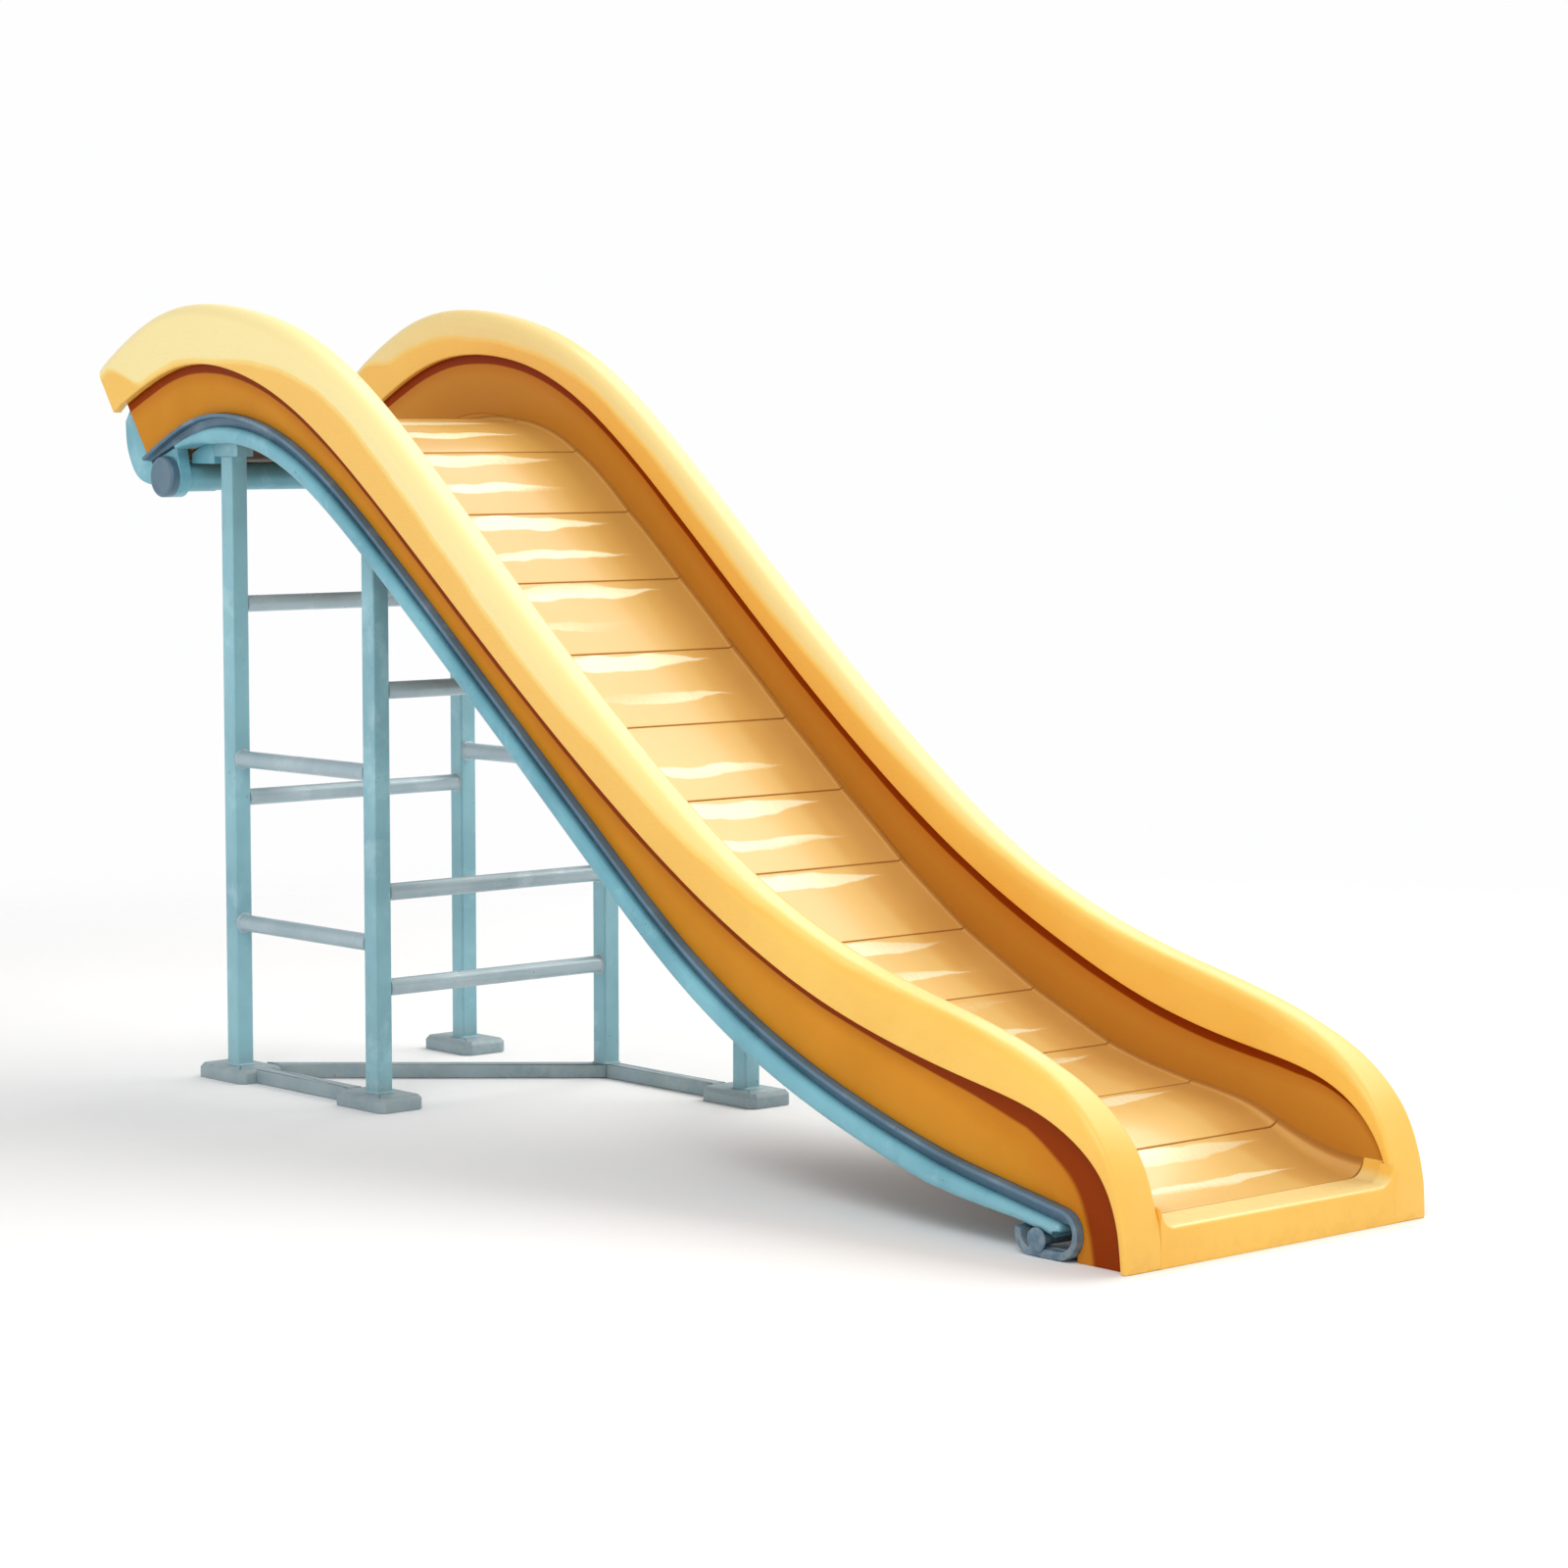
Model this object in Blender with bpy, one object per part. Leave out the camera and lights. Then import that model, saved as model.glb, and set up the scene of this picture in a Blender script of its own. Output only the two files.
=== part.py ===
"""Freestanding wave slide: moulded chute on a welded steel tube frame.

Metres, +X downhill, +Y towards the rider's left, +Z up, floor at z = 0.
Lengths in the tables below are millimetres; MM turns them into metres.
"""

import math

import bmesh
import bpy
import numpy as np
from mathutils import Vector

MM = 0.001
GAP = 0.3  # clearance between touching pieces

# ---------------------------------------------------------------- chute
WIDTH = 820.0  # over the two rims
RIM_WIDTH = 90.0
WALL_OUT, WALL_IN = 22.0, 72.0  # wall faces, in from the rim's outer face
RIM_ROUND = 36.0  # shoulder radius along the run
FOOT_ROUND = 9.0  # shoulder radius on the flat exit legs
RIM_OVERRUN = 35.0  # how far the rim runs on past the wall at the top
RIM_STEPS = 3  # sections between two stations

# Side sections from the top end to the exit. x, z: foot of the section;
# lean: its direction in degrees above +X; then distances along it to the
# outer lip, the inner lip and the crest of the rim.
STATIONS = (
    (-376, 1418, 125, 146, 151, 278),
    (-240, 1482, 112, 133, 148, 276),
    (-80, 1518, 90, 107, 138, 241),
    (100, 1494, 74, 84, 137, 223),
    (300, 1406, 60, 70, 132, 212),
    (520, 1256, 52.5, 66, 122, 200),
    (900, 962, 51, 68, 106, 184),
    (1300, 648, 51.5, 90, 112, 190),
    (1600, 430, 58, 121, 138, 213),
    (1850, 300, 66, 134, 146, 231),
    (2100, 208, 71, 147, 145, 248),
    (2300, 152, 75, 158, 154, 254),
    (2450, 122, 71, 158, 158, 234),
    (2540, 104, 55, 144, 148, 196),
    (2590, 90, 35, 126, 128, 157),
    (2610, 70, 15, 119, 121, 141),
    (2620, 38, 0, 118, 118, 136),
    (2620, 0, 0, 122, 122, 136),
)

# Running surface along the middle of the bed.
BED = (
    (-372, 1402), (-210, 1478), (-60, 1504), (110, 1496), (260, 1448),
    (440, 1328), (900, 952), (1300, 636), (1600, 434), (1850, 312),
    (2100, 224), (2260, 197), (2390, 166), (2515, 110), (2640, 78),
    (2661, 76),
)
BED_PANELS = 15
BED_THICK = 20.0
COVE, SILL_COVE = 8.0, 36.0  # fillet between bed and side wall, slope and exit
COVE_GROWS = (2300.0, 2661.0)  # where it grows from one to the other
COVE_EDGE = 2.5

SILL_BACK, SILL_STEP, SILL_FRONT = 2664.5, 2720.0, 2756.0
SILL_TOP = 73.0

# ---------------------------------------------------------------- rails
RAIL_OUT, RAIL_IN = 6.0, 66.0  # tube faces, in from the rim's outer face
FLANGE = (4.0, 68.0, 9.0)  # plate: outer edge, inner edge, thickness
WEB = (22.0, 40.0)
WEB_DEPTH = 21.0
TUBE_TOP = 30.3  # below the top of the rail
TUBE_BOTTOM = ((1000, 66), (1700, 75), (2250, 74), (2480, 58))  # x, depth
CURL_START = 2592.0
CURL_FLAT, CURL_BACK = 72.0, 38.0
CURL_FLOOR = 1.0  # clearance under the curl
FRONT_STEPS = 12  # faces round the front of the curl
CURL_THICK = 16.0  # the plate thickens from its own thickness to this round the curl

# ---------------------------------------------------------------- frame
POST = 44.0
POST_SIDE = 88.3  # post axis, in from the rim's outer face
POST_REAR, POST_FRONT, POST_LOWER = -126.0, 411.0, 900.0
POST_DROP = 42.0  # post tops stop this far below the rail line
SADDLE_LEVEL = 1420.0
RUNG_RADIUS = 19.0
PAD = (180.0, 120.0, 32.0)
BASE_WIDTH, BASE_HEIGHT = 40.0, 32.0

REAR_TUBE = (-300.0, 1374.0, 32.0)  # x, z, radius
REAR_STUB = (34.5, 150.0)  # radius, inner end
COLLAR = (47.0, 6.0, 27.7)  # radius, outer face, inner face
HOOK = (28.0, 60.0)
HOOK_REACH = (-268.0, -346.0)  # where its web under the flange starts and stops
HOOK_BACK = ((-480.0, 1500.0), (-476.0, 1448.0), (-458.0, 1404.0), (-420.0, 1366.0))
GUSSET = (-262.0, 1404.0)  # top end x, level of its underside

LOWER_TIE = (2532.0, 32.0, 13.0)  # x, z, radius
TIE_CAP = (22.5, 0.5, 3.7)  # radius, outer face, inner face
MID_TIE = (815.0, 17.0, 61.0)  # x, radius, depth below the rail line


def cubic(knots, values, at):
    """Natural cubic spline through values at knots."""
    k = np.asarray(knots, float)
    y = np.asarray(values, float)
    h = np.diff(k)
    n = len(k)
    a = np.eye(n)
    b = np.zeros(n)
    for i in range(1, n - 1):
        a[i, i - 1] = h[i - 1]
        a[i, i] = 2 * (h[i - 1] + h[i])
        a[i, i + 1] = h[i]
        b[i] = 6 * ((y[i + 1] - y[i]) / h[i] - (y[i] - y[i - 1]) / h[i - 1])
    m = np.linalg.solve(a, b)
    at = np.asarray(at, float)
    i = np.clip(np.searchsorted(k, at, side="right") - 1, 0, n - 2)
    d0 = at - k[i]
    d1 = k[i + 1] - at
    hi = h[i]
    return (
        (m[i] * d1**3 + m[i + 1] * d0**3) / (6 * hi)
        + (y[i] / hi - m[i] * hi / 6) * d1
        + (y[i + 1] / hi - m[i + 1] * hi / 6) * d0
    )


def chord(points):
    p = np.asarray(points, float)
    steps = np.hypot(np.diff(p[:, 0]), np.diff(p[:, 1]))
    return np.concatenate(([0.0], np.cumsum(steps)))


# ---------------------------------------------------------------- side sections
def side_sections():
    """Foot, direction and distances of every side section, top to exit."""
    s = np.asarray(STATIONS, float)
    lean = np.radians(s[:, 2])
    crest = s[:, :2] + s[:, 5:6] * np.column_stack((np.cos(lean), np.sin(lean)))
    knots = chord(crest)
    at = []
    for a, b in zip(knots[:-1], knots[1:]):
        at.extend(np.linspace(a, b, RIM_STEPS, endpoint=False))
    at.append(knots[-1])
    out = np.column_stack([cubic(knots, s[:, i], at) for i in range(6)])
    return out


SECTIONS = side_sections()


def along(section, distance):
    a = math.radians(section[2])
    return (
        section[0] + distance * math.cos(a),
        section[1] + distance * math.sin(a),
    )


def wall_top(section):
    return 0.5 * (max(section[3], section[4]) + section[5])


# ---------------------------------------------------------------- rail line
def rail_line():
    """Top of the rail: points and unit directions, up to the curl."""
    last = STATIONS[12]
    keep = [i for i, s in enumerate(SECTIONS) if s[0] <= last[0] + 0.01]
    pts = [(SECTIONS[i][0], SECTIONS[i][1]) for i in keep]
    slope = (pts[-1][1] - pts[-2][1]) / (pts[-1][0] - pts[-2][0])
    for x in (2500.0, 2550.0, CURL_START):
        pts.append((x, last[1] + slope * (x - last[0])))
    return pts


RAIL = rail_line()


def directions(pts):
    p = np.asarray(pts, float)
    d = np.gradient(p, axis=0)
    d[0] = p[1] - p[0]
    d[-1] = p[-1] - p[-2]
    return d / np.linalg.norm(d, axis=1)[:, None]


def rail_height(x):
    return float(np.interp(x, [p[0] for p in RAIL], [p[1] for p in RAIL]))


def rail_slope(x):
    return (rail_height(x + 10) - rail_height(x - 10)) / 20.0


def below_rail(x, depth):
    """Height at x of a line parallel to the rail, depth below it."""
    return rail_height(x) - depth * math.hypot(1.0, rail_slope(x))


CURL_FRONT = (RAIL[-1][1] - CURL_FLOOR) / (1.0 + directions(RAIL)[-1][0])


def curl_points():
    """Outer face of the flange round the curl: points and directions."""
    d = directions(RAIL)[-1]
    x, z = RAIL[-1]
    cx, cz = x + CURL_FRONT * d[1], z - CURL_FRONT * d[0]
    start = math.atan2(z - cz, x - cx)
    pts, dirs = [], []
    for i in range(1, FRONT_STEPS + 1):
        a = start + (-math.pi / 2 - start) * i / FRONT_STEPS
        pts.append((cx + CURL_FRONT * math.cos(a), cz + CURL_FRONT * math.sin(a)))
        dirs.append((math.sin(a), -math.cos(a)))
    bx, bz = cx - CURL_FLAT, cz - CURL_FRONT + CURL_BACK
    for i in range(0, 9):
        a = -math.pi / 2 - math.radians(108) * i / 8
        pts.append((bx + CURL_BACK * math.cos(a), bz + CURL_BACK * math.sin(a)))
        dirs.append((math.sin(a), -math.cos(a)))
    return pts, dirs


CURL, CURL_DIRS = curl_points()


# ---------------------------------------------------------------- mesh helpers
for old in list(bpy.data.objects):
    bpy.data.objects.remove(old, do_unlink=True)

COLOURS = {
    "moulded_yellow": ((0.93, 0.55, 0.14, 1), 0.0, 0.35),
    "painted_steel": ((0.24, 0.42, 0.46, 1), 0.1, 0.4),
    "rung_steel": ((0.45, 0.52, 0.54, 1), 0.1, 0.4),
    "foot_steel": ((0.29, 0.36, 0.38, 1), 0.1, 0.5),
}


def paint(name, slot):
    colour, metal, rough = COLOURS[slot]
    mat = bpy.data.materials.new(f"{slot}_{name}")
    mat.use_nodes = True
    shader = mat.node_tree.nodes["Principled BSDF"]
    shader.inputs["Base Color"].default_value = colour
    shader.inputs["Metallic"].default_value = metal
    shader.inputs["Roughness"].default_value = rough
    return mat


PIECES = []


def finish(bm, name, slot):
    bmesh.ops.remove_doubles(bm, verts=bm.verts, dist=1e-6)
    bmesh.ops.recalc_face_normals(bm, faces=bm.faces)
    bmesh.ops.triangulate(bm, faces=bm.faces)
    mesh = bpy.data.meshes.new(name)
    bm.to_mesh(mesh)
    bm.free()
    obj = bpy.data.objects.new(name, mesh)
    bpy.context.scene.collection.objects.link(obj)
    mesh.materials.append(paint(name, slot))
    PIECES.append(obj)
    return obj


def point(x, y, z):
    return Vector((x * MM, (y - WIDTH / 2) * MM, z * MM))


def loft(name, slot, rings):
    """Closed body through rings of (x, y, z) points, capped at both ends."""
    bm = bmesh.new()
    rows = [[bm.verts.new(point(*p)) for p in ring] for ring in rings]
    n = len(rows[0])
    for a, b in zip(rows[:-1], rows[1:]):
        for i in range(n):
            j = (i + 1) % n
            bm.faces.new((a[i], a[j], b[j], b[i]))
    bm.faces.new(rows[0][::-1])
    bm.faces.new(rows[-1])
    return finish(bm, name, slot)


def side_prism(name, slot, outline, y0, y1):
    """(x, z) outline carried across from y0 to y1."""
    rings = [[(x, y, z) for x, z in outline] for y in (y0, y1)]
    return loft(name, slot, rings)


def plan_prism(name, slot, outline, z0, z1):
    """(x, y) outline carried up from z0 to z1."""
    rings = [[(x, y, z) for x, y in outline] for z in (z0, z1)]
    return loft(name, slot, rings)


def round_bar(name, slot, axis, start, end, centre, radius, sides=20):
    """Round bar along x or y; centre is the other two coordinates."""
    rings = []
    for s in (start, end):
        ring = []
        for i in range(sides):
            a = 2 * math.pi * i / sides
            u = centre[0] + radius * math.cos(a)
            v = centre[1] + radius * math.sin(a)
            ring.append((s, u, v) if axis == "x" else (u, s, v))
        rings.append(ring)
    return loft(name, slot, rings)


def mirrored(side, y):
    return y if side == "right" else WIDTH - y


def ordered(side, y0, y1):
    return (y0, y1) if side == "right" else (WIDTH - y1, WIDTH - y0)


# ---------------------------------------------------------------- chute pieces
def rim_ring(section, side):
    """One hood section: bullnose over the wall with two hanging lips."""
    lip_out, lip_in, crest = section[3], section[4], section[5]
    top = wall_top(section)
    room = crest - max(lip_out, lip_in)
    flat = min(1.0, max(0.0, (section[0] - 2450.0) / 130.0))
    r = min(RIM_ROUND * (1 - flat) + FOOT_ROUND * flat, room - 6.0)
    pts = [(0.0, lip_out)]
    for i in range(5):
        a = math.pi - math.pi / 2 * i / 4
        pts.append((r + r * math.cos(a), crest - r + r * math.sin(a)))
    for i in range(5):
        a = math.pi / 2 - math.pi / 2 * i / 4
        pts.append((RIM_WIDTH - r + r * math.cos(a), crest - r + r * math.sin(a)))
    pts.append((RIM_WIDTH, lip_in))
    pts.append((WALL_IN + GAP, lip_in))
    pts.append((WALL_IN + GAP, top))
    pts.append((WALL_OUT - GAP, top))
    pts.append((WALL_OUT - GAP, lip_out))
    ring = []
    for y, v in pts:
        x, z = along(section, v)
        ring.append((x, mirrored(side, y), z))
    return ring


def back_section():
    """The rim's end section, run on past the top of the wall."""
    first = SECTIONS[0].copy()
    a = math.radians(first[2] - 90.0)
    first[0] -= RIM_OVERRUN * math.cos(a)
    first[1] -= RIM_OVERRUN * math.sin(a)
    return first


def wall_outline():
    """Side panel: rail line, round the curl, floor, then under the rim."""
    dirs = directions(RAIL)
    pts = [
        (x - GAP * d[1], z + GAP * d[0]) for (x, z), d in zip(RAIL, dirs)
    ]
    for (x, z), d in zip(CURL[:9], CURL_DIRS[:9]):
        pts.append((x - GAP * d[1], z + GAP * d[0]))
    pts.append((pts[-1][0], 0.0))
    for section in SECTIONS[::-1]:
        pts.append(along(section, wall_top(section) - GAP))
    return pts


for side in ("right", "left"):
    rings = [rim_ring(s, side) for s in [back_section(), *SECTIONS]]
    loft(f"side_rim_{side}", "moulded_yellow", rings)
    y0, y1 = ordered(side, WALL_OUT, WALL_IN)
    side_prism(f"side_wall_{side}", "moulded_yellow", wall_outline(), y0, y1)


def tray(edge, cove_top):
    """Bed section as (y, height): flat middle, coves, flat underside."""
    left = [(edge, -BED_THICK), (edge, cove_top)]
    for i in range(5):
        a = math.pi + math.pi / 2 * i / 4
        left.append(
            (
                edge + COVE_EDGE + cove_top + cove_top * math.cos(a),
                cove_top + cove_top * math.sin(a),
            )
        )
    return left + [(WIDTH - y, v) for y, v in left[::-1]]


def cove_radius(x):
    return float(np.interp(x, COVE_GROWS, (COVE, SILL_COVE)))


def bed_panels():
    knots = chord(BED)
    xs = [p[0] for p in BED]
    zs = [p[1] for p in BED]
    pitch = knots[-1] / BED_PANELS
    for k in range(BED_PANELS):
        at = np.linspace(k * pitch + GAP / 2, (k + 1) * pitch - GAP / 2, 4)
        x = cubic(knots, xs, at)
        z = cubic(knots, zs, at)
        dx = cubic(knots, xs, at + 0.5) - cubic(knots, xs, at - 0.5)
        dz = cubic(knots, zs, at + 0.5) - cubic(knots, zs, at - 0.5)
        rings = []
        for i in range(len(at)):
            n = math.hypot(dx[i], dz[i])
            nx, nz = -dz[i] / n, dx[i] / n
            section = tray(WALL_IN + GAP, cove_radius(x[i]))
            rings.append([(x[i] + nx * v, y, z[i] + nz * v) for y, v in section])
        loft(f"bed_panel_{k + 1:02d}", "moulded_yellow", rings)


bed_panels()


def sill():
    """Exit sill: step in between the legs, coved ends, eased front edge."""
    wide, narrow = WALL_IN + GAP, RIM_WIDTH + GAP
    spans = (
        (SILL_BACK, wide, SILL_TOP + 2.0),
        (SILL_STEP, wide, SILL_TOP + 1.0),
        (SILL_STEP + 0.4, narrow, SILL_TOP + 1.0),
        (SILL_FRONT - 9.0, narrow, SILL_TOP),
        (SILL_FRONT - 3.0, narrow, SILL_TOP - 2.5),
        (SILL_FRONT, narrow, SILL_TOP - 9.0),
    )
    rings = []
    for x, edge, top in spans:
        section = tray(edge, SILL_COVE)
        ring = []
        for y, v in section:
            ring.append((x, y, 0.0 if v < -1.0 else top + v))
        rings.append(ring)
    loft("exit_sill", "moulded_yellow", rings)


sill()


# ---------------------------------------------------------------- rail pieces
def web_depth(x):
    """Depth of the flange's web, which dies away towards the top end."""
    start, full = RAIL[0][0], -200.0
    share = min(1.0, (x - start) / (full - start))
    return 2.0 + (WEB_DEPTH - 2.0) * share


def flange_rings(side):
    """T section along the rail, then round the curl with a dying web."""
    dirs = [tuple(d) for d in directions(RAIL)] + CURL_DIRS
    out, inn, plate = FLANGE
    rings = []
    for i, ((x, z), (dx, dz)) in enumerate(zip(RAIL + CURL, dirs)):
        turn = (i - len(RAIL) + 1) / FRONT_STEPS
        thick = plate + (CURL_THICK - plate) * min(1.0, max(0.0, turn))
        depth = web_depth(x)
        if turn > 0:
            depth = max(1.5, WEB_DEPTH * (1 - 1.2 * turn))
        lay = [
            (out, 0.0), (inn, 0.0), (inn, -thick), (WEB[1], -thick),
            (WEB[1], -thick - depth), (WEB[0], -thick - depth),
            (WEB[0], -thick), (out, -thick),
        ]
        ring = []
        for y, v in lay:
            ring.append((x - dz * v, mirrored(side, y), z + dx * v))
        rings.append(ring)
    return rings


def tube_rings(side):
    """Rounded box tube: tapered top end, tip turned down inside the curl."""
    line = [p for p in RAIL if p[0] > -262.0]
    dirs = [tuple(d) for d in directions(line)]
    spans = []
    for (x, z), (dx, dz) in zip(line[:-1], dirs[:-1]):
        start = min(1.0, 0.25 + 0.75 * (x + 262.0) / 140.0)
        full = float(np.interp(x, *zip(*TUBE_BOTTOM)))
        low = TUBE_TOP + (full - TUBE_TOP) * start
        spans.append((x, z, dx, dz, TUBE_TOP, low, 1.0))
    (ex, ez), (dx, dz) = line[-1], dirs[-1]
    cx, cz = ex + CURL_FRONT * dz - 16.0, ez - CURL_FRONT * dx + 3.0
    turn = math.atan2(dx, -dz)
    for i in range(0, 7):
        a = turn - math.radians(14) * i
        px, pz = cx + CURL_FRONT * math.cos(a), cz + CURL_FRONT * math.sin(a)
        tip = math.sqrt(max(0.0, 1 - (max(0, i - 3) / 3.4) ** 2))
        mid = TUBE_TOP + 15.0 - i * 0.6
        half = (15.0 - i * 0.6) * (0.35 + 0.65 * tip)
        spans.append((px, pz, math.sin(a), -math.cos(a), mid - half, mid + half, tip))
    rings = []
    for x, z, dx, dz, top, low, full in spans:
        ease = min(7.0, 0.35 * (low - top))
        inset = (1 - full) * 9.0
        y0, y1 = RAIL_OUT + inset, RAIL_IN - inset
        lay = [
            (y0 + ease, top), (y1 - ease, top), (y1, top + ease), (y1, low - ease),
            (y1 - ease, low), (y0 + ease, low), (y0, low - ease), (y0, top + ease),
        ]
        ring = [(x + dz * v, mirrored(side, y), z - dx * v) for y, v in lay]
        rings.append(ring)
    return rings


def tie_rod():
    """Rod across the lower end with a cap outside each rail."""
    x, z, radius = LOWER_TIE
    cap, outer, inner = TIE_CAP
    profile = [(outer, cap), (inner, cap), (inner, radius)]
    profile += [(WIDTH - y, r) for y, r in profile[::-1]]
    rings = []
    for y, r in profile:
        turn = [2 * math.pi * i / 20 for i in range(20)]
        rings.append([(x + r * math.cos(a), y, z + r * math.sin(a)) for a in turn])
    loft("lower_tie_rod", "painted_steel", rings)


def gusset(side):
    """Wedge plate that closes the gap between rail and saddle above the tube."""
    start, level = GUSSET
    xs = (start, 0.5 * (start + POST_REAR - 46.0), POST_REAR - 46.0 - GAP)
    outline = [(xs[0], level), (xs[2], level)]
    outline += [(x, below_rail(x, POST_DROP)) for x in xs[::-1]]
    y0, y1 = ordered(side, POST_SIDE - POST / 2, POST_SIDE)
    side_prism(f"rear_gusset_{side}", "painted_steel", outline, y0, y1)


def hook_outline():
    """Crescent plate behind the wall end, closing round the rear tube."""
    first = SECTIONS[0]
    a = math.radians(first[2])
    back = (-math.sin(a), math.cos(a))
    inner = []
    for v, clear in ((138.0, 0.5), (3.0, 0.5), (-17.0, 3.0)):
        x, z = along(first, v)
        inner.append((x + clear * back[0], z + clear * back[1]))
    tx, tz, _ = REAR_TUBE
    r = COLLAR[0]
    pts = [inner[0]]
    pts.extend(HOOK_BACK)
    for i in range(0, 10):
        b = math.radians(-150 + 20 * i)
        pts.append((tx + r * math.cos(b), tz + r * math.sin(b)))
    low, high = HOOK_REACH
    for x in (low, -285.0, -331.0, high):
        pts.append((x, below_rail(x, FLANGE[2] + web_depth(x) + 2.0)))
    pts.extend(inner[:0:-1])
    return pts


for side in ("right", "left"):
    loft(f"rail_flange_{side}", "painted_steel", flange_rings(side))
    loft(f"rail_tube_{side}", "painted_steel", tube_rings(side))
    y0, y1 = ordered(side, *HOOK)
    side_prism(f"rear_hook_{side}", "painted_steel", hook_outline(), y0, y1)
    y0, y1 = ordered(side, COLLAR[1], COLLAR[2])
    round_bar(
        f"rear_collar_{side}", "painted_steel", "y", y0, y1,
        REAR_TUBE[:2], COLLAR[0], 28,
    )

for side in ("right", "left"):
    y0, y1 = ordered(side, HOOK[1] + GAP, REAR_STUB[1])
    round_bar(
        f"rear_stub_{side}", "painted_steel", "y", y0, y1,
        REAR_TUBE[:2], REAR_STUB[0], 24,
    )
round_bar(
    "rear_cross_tube", "painted_steel", "y",
    REAR_STUB[1] + GAP, WIDTH - REAR_STUB[1] - GAP, REAR_TUBE[:2], REAR_TUBE[2], 24,
)
round_bar(
    "middle_cross_tie", "painted_steel", "y", RAIL_IN + GAP, WIDTH - RAIL_IN - GAP,
    (MID_TIE[0], below_rail(MID_TIE[0], MID_TIE[2])), MID_TIE[1], 20,
)


# ---------------------------------------------------------------- frame pieces
def post(name, x, side, foot):
    """Square tube with its top cut to the slope of the rail."""
    xs = (x - POST / 2, x + POST / 2)
    if name.startswith("post_rear"):
        tops = [SADDLE_LEVEL, SADDLE_LEVEL]
    else:
        tops = [below_rail(v, POST_DROP) for v in xs]
    outline = [(xs[0], foot), (xs[1], foot), (xs[1], tops[1]), (xs[0], tops[0])]
    y0, y1 = ordered(side, POST_SIDE - POST / 2, POST_SIDE + POST / 2)
    side_prism(f"{name}_{side}", "painted_steel", outline, y0, y1)


def pad(name, x, side):
    """Foot pad with a chamfered top edge."""
    lx, ly, lz = PAD[0] / 2, PAD[1] / 2, PAD[2]
    y = mirrored(side, POST_SIDE)
    rings = []
    for z, cut in ((0.0, 0.0), (lz - 8.0, 0.0), (lz, 8.0)):
        a, b, c = lx - cut, ly - cut, 14.0
        rings.append(
            [
                (x + a, y - b + c, z), (x + a, y + b - c, z),
                (x + a - c, y + b, z), (x - a + c, y + b, z),
                (x - a, y + b - c, z), (x - a, y - b + c, z),
                (x - a + c, y - b, z), (x + a - c, y - b, z),
            ]
        )
    loft(name, "foot_steel", rings)


def saddle(side):
    """Block between a rear post and the underside of the rail."""
    half = 46.0
    xs = (POST_REAR - half, POST_REAR, POST_REAR + half)
    outline = [(xs[0], SADDLE_LEVEL + GAP), (xs[2], SADDLE_LEVEL + GAP)]
    outline += [(x, below_rail(x, POST_DROP)) for x in xs[::-1]]
    y0, y1 = ordered(side, POST_SIDE - POST / 2, POST_SIDE + POST / 2)
    side_prism(f"post_saddle_{side}", "painted_steel", outline, y0, y1)


for name, x, side in (
    ("post_rear", POST_REAR, "right"),
    ("post_front", POST_FRONT, "right"),
    ("post_rear", POST_REAR, "left"),
    ("post_lower", POST_LOWER, "left"),
):
    post(name, x, side, PAD[2] + GAP)
    pad(f"foot_pad_{name[5:]}_{side}", x, side)
post("post_front", POST_FRONT, "left", BASE_HEIGHT + GAP)
saddle("right")
saddle("left")
gusset("right")
gusset("left")
tie_rod()


def rungs():
    inner = POST_SIDE + POST / 2 + GAP
    across = (
        ("rear_rung_upper", POST_REAR, 1087.0),
        ("rear_rung_lower", POST_REAR, 645.0),
        ("front_rung_upper", POST_FRONT, 915.0),
        ("front_rung_middle", POST_FRONT, 472.0),
        ("front_rung_lower", POST_FRONT, 262.0),
    )
    for name, x, z in across:
        round_bar(name, "rung_steel", "y", inner, WIDTH - inner, (x, z), RUNG_RADIUS)
    start = POST_REAR + POST / 2 + GAP
    end = POST_FRONT - POST / 2 - GAP
    lengthwise = (
        ("side_rung_upper_right", "right", 735.0),
        ("side_rung_lower_right", "right", 360.0),
        ("side_rung_left", "left", 720.0),
    )
    for name, side, z in lengthwise:
        y = mirrored(side, POST_SIDE)
        round_bar(name, "rung_steel", "x", start, end, (y, z), RUNG_RADIUS)


rungs()


def base_tubes():
    half = BASE_WIDTH / 2
    reach = PAD[0] / 2 + GAP
    y = POST_SIDE
    x0, x1 = POST_REAR + reach, POST_FRONT - reach
    plan_prism(
        "base_tube_right", "foot_steel",
        [(x0, y - half), (x1, y - half), (x1, y + half), (x0, y + half)],
        0.0, BASE_HEIGHT,
    )
    y = WIDTH - POST_SIDE
    x0, x1 = POST_FRONT - 30.0, POST_LOWER - reach
    plan_prism(
        "base_tube_left", "foot_steel",
        [(x0, y - half), (x1, y - half), (x1, y + half), (x0, y + half)],
        0.0, BASE_HEIGHT,
    )
    ya = POST_SIDE + PAD[1] / 2 + GAP
    yb = WIDTH - POST_SIDE - half - GAP
    xa, xb = POST_REAR + 40.0, POST_FRONT
    skew = half * math.hypot(xb - xa, yb - ya) / (yb - ya)
    plan_prism(
        "base_tube_diagonal", "foot_steel",
        [(xa - skew, ya), (xa + skew, ya), (xb + skew, yb), (xb - skew, yb)],
        0.0, BASE_HEIGHT,
    )


base_tubes()


# ---------------------------------------------------------------- shared origin
def centre_on_floor():
    """Put the origin at the middle of the bounding box, on the floor."""
    xs = [v.co.x for o in PIECES for v in o.data.vertices]
    mid = 0.5 * (min(xs) + max(xs))
    for o in PIECES:
        for v in o.data.vertices:
            v.co.x -= mid


centre_on_floor()
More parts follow.
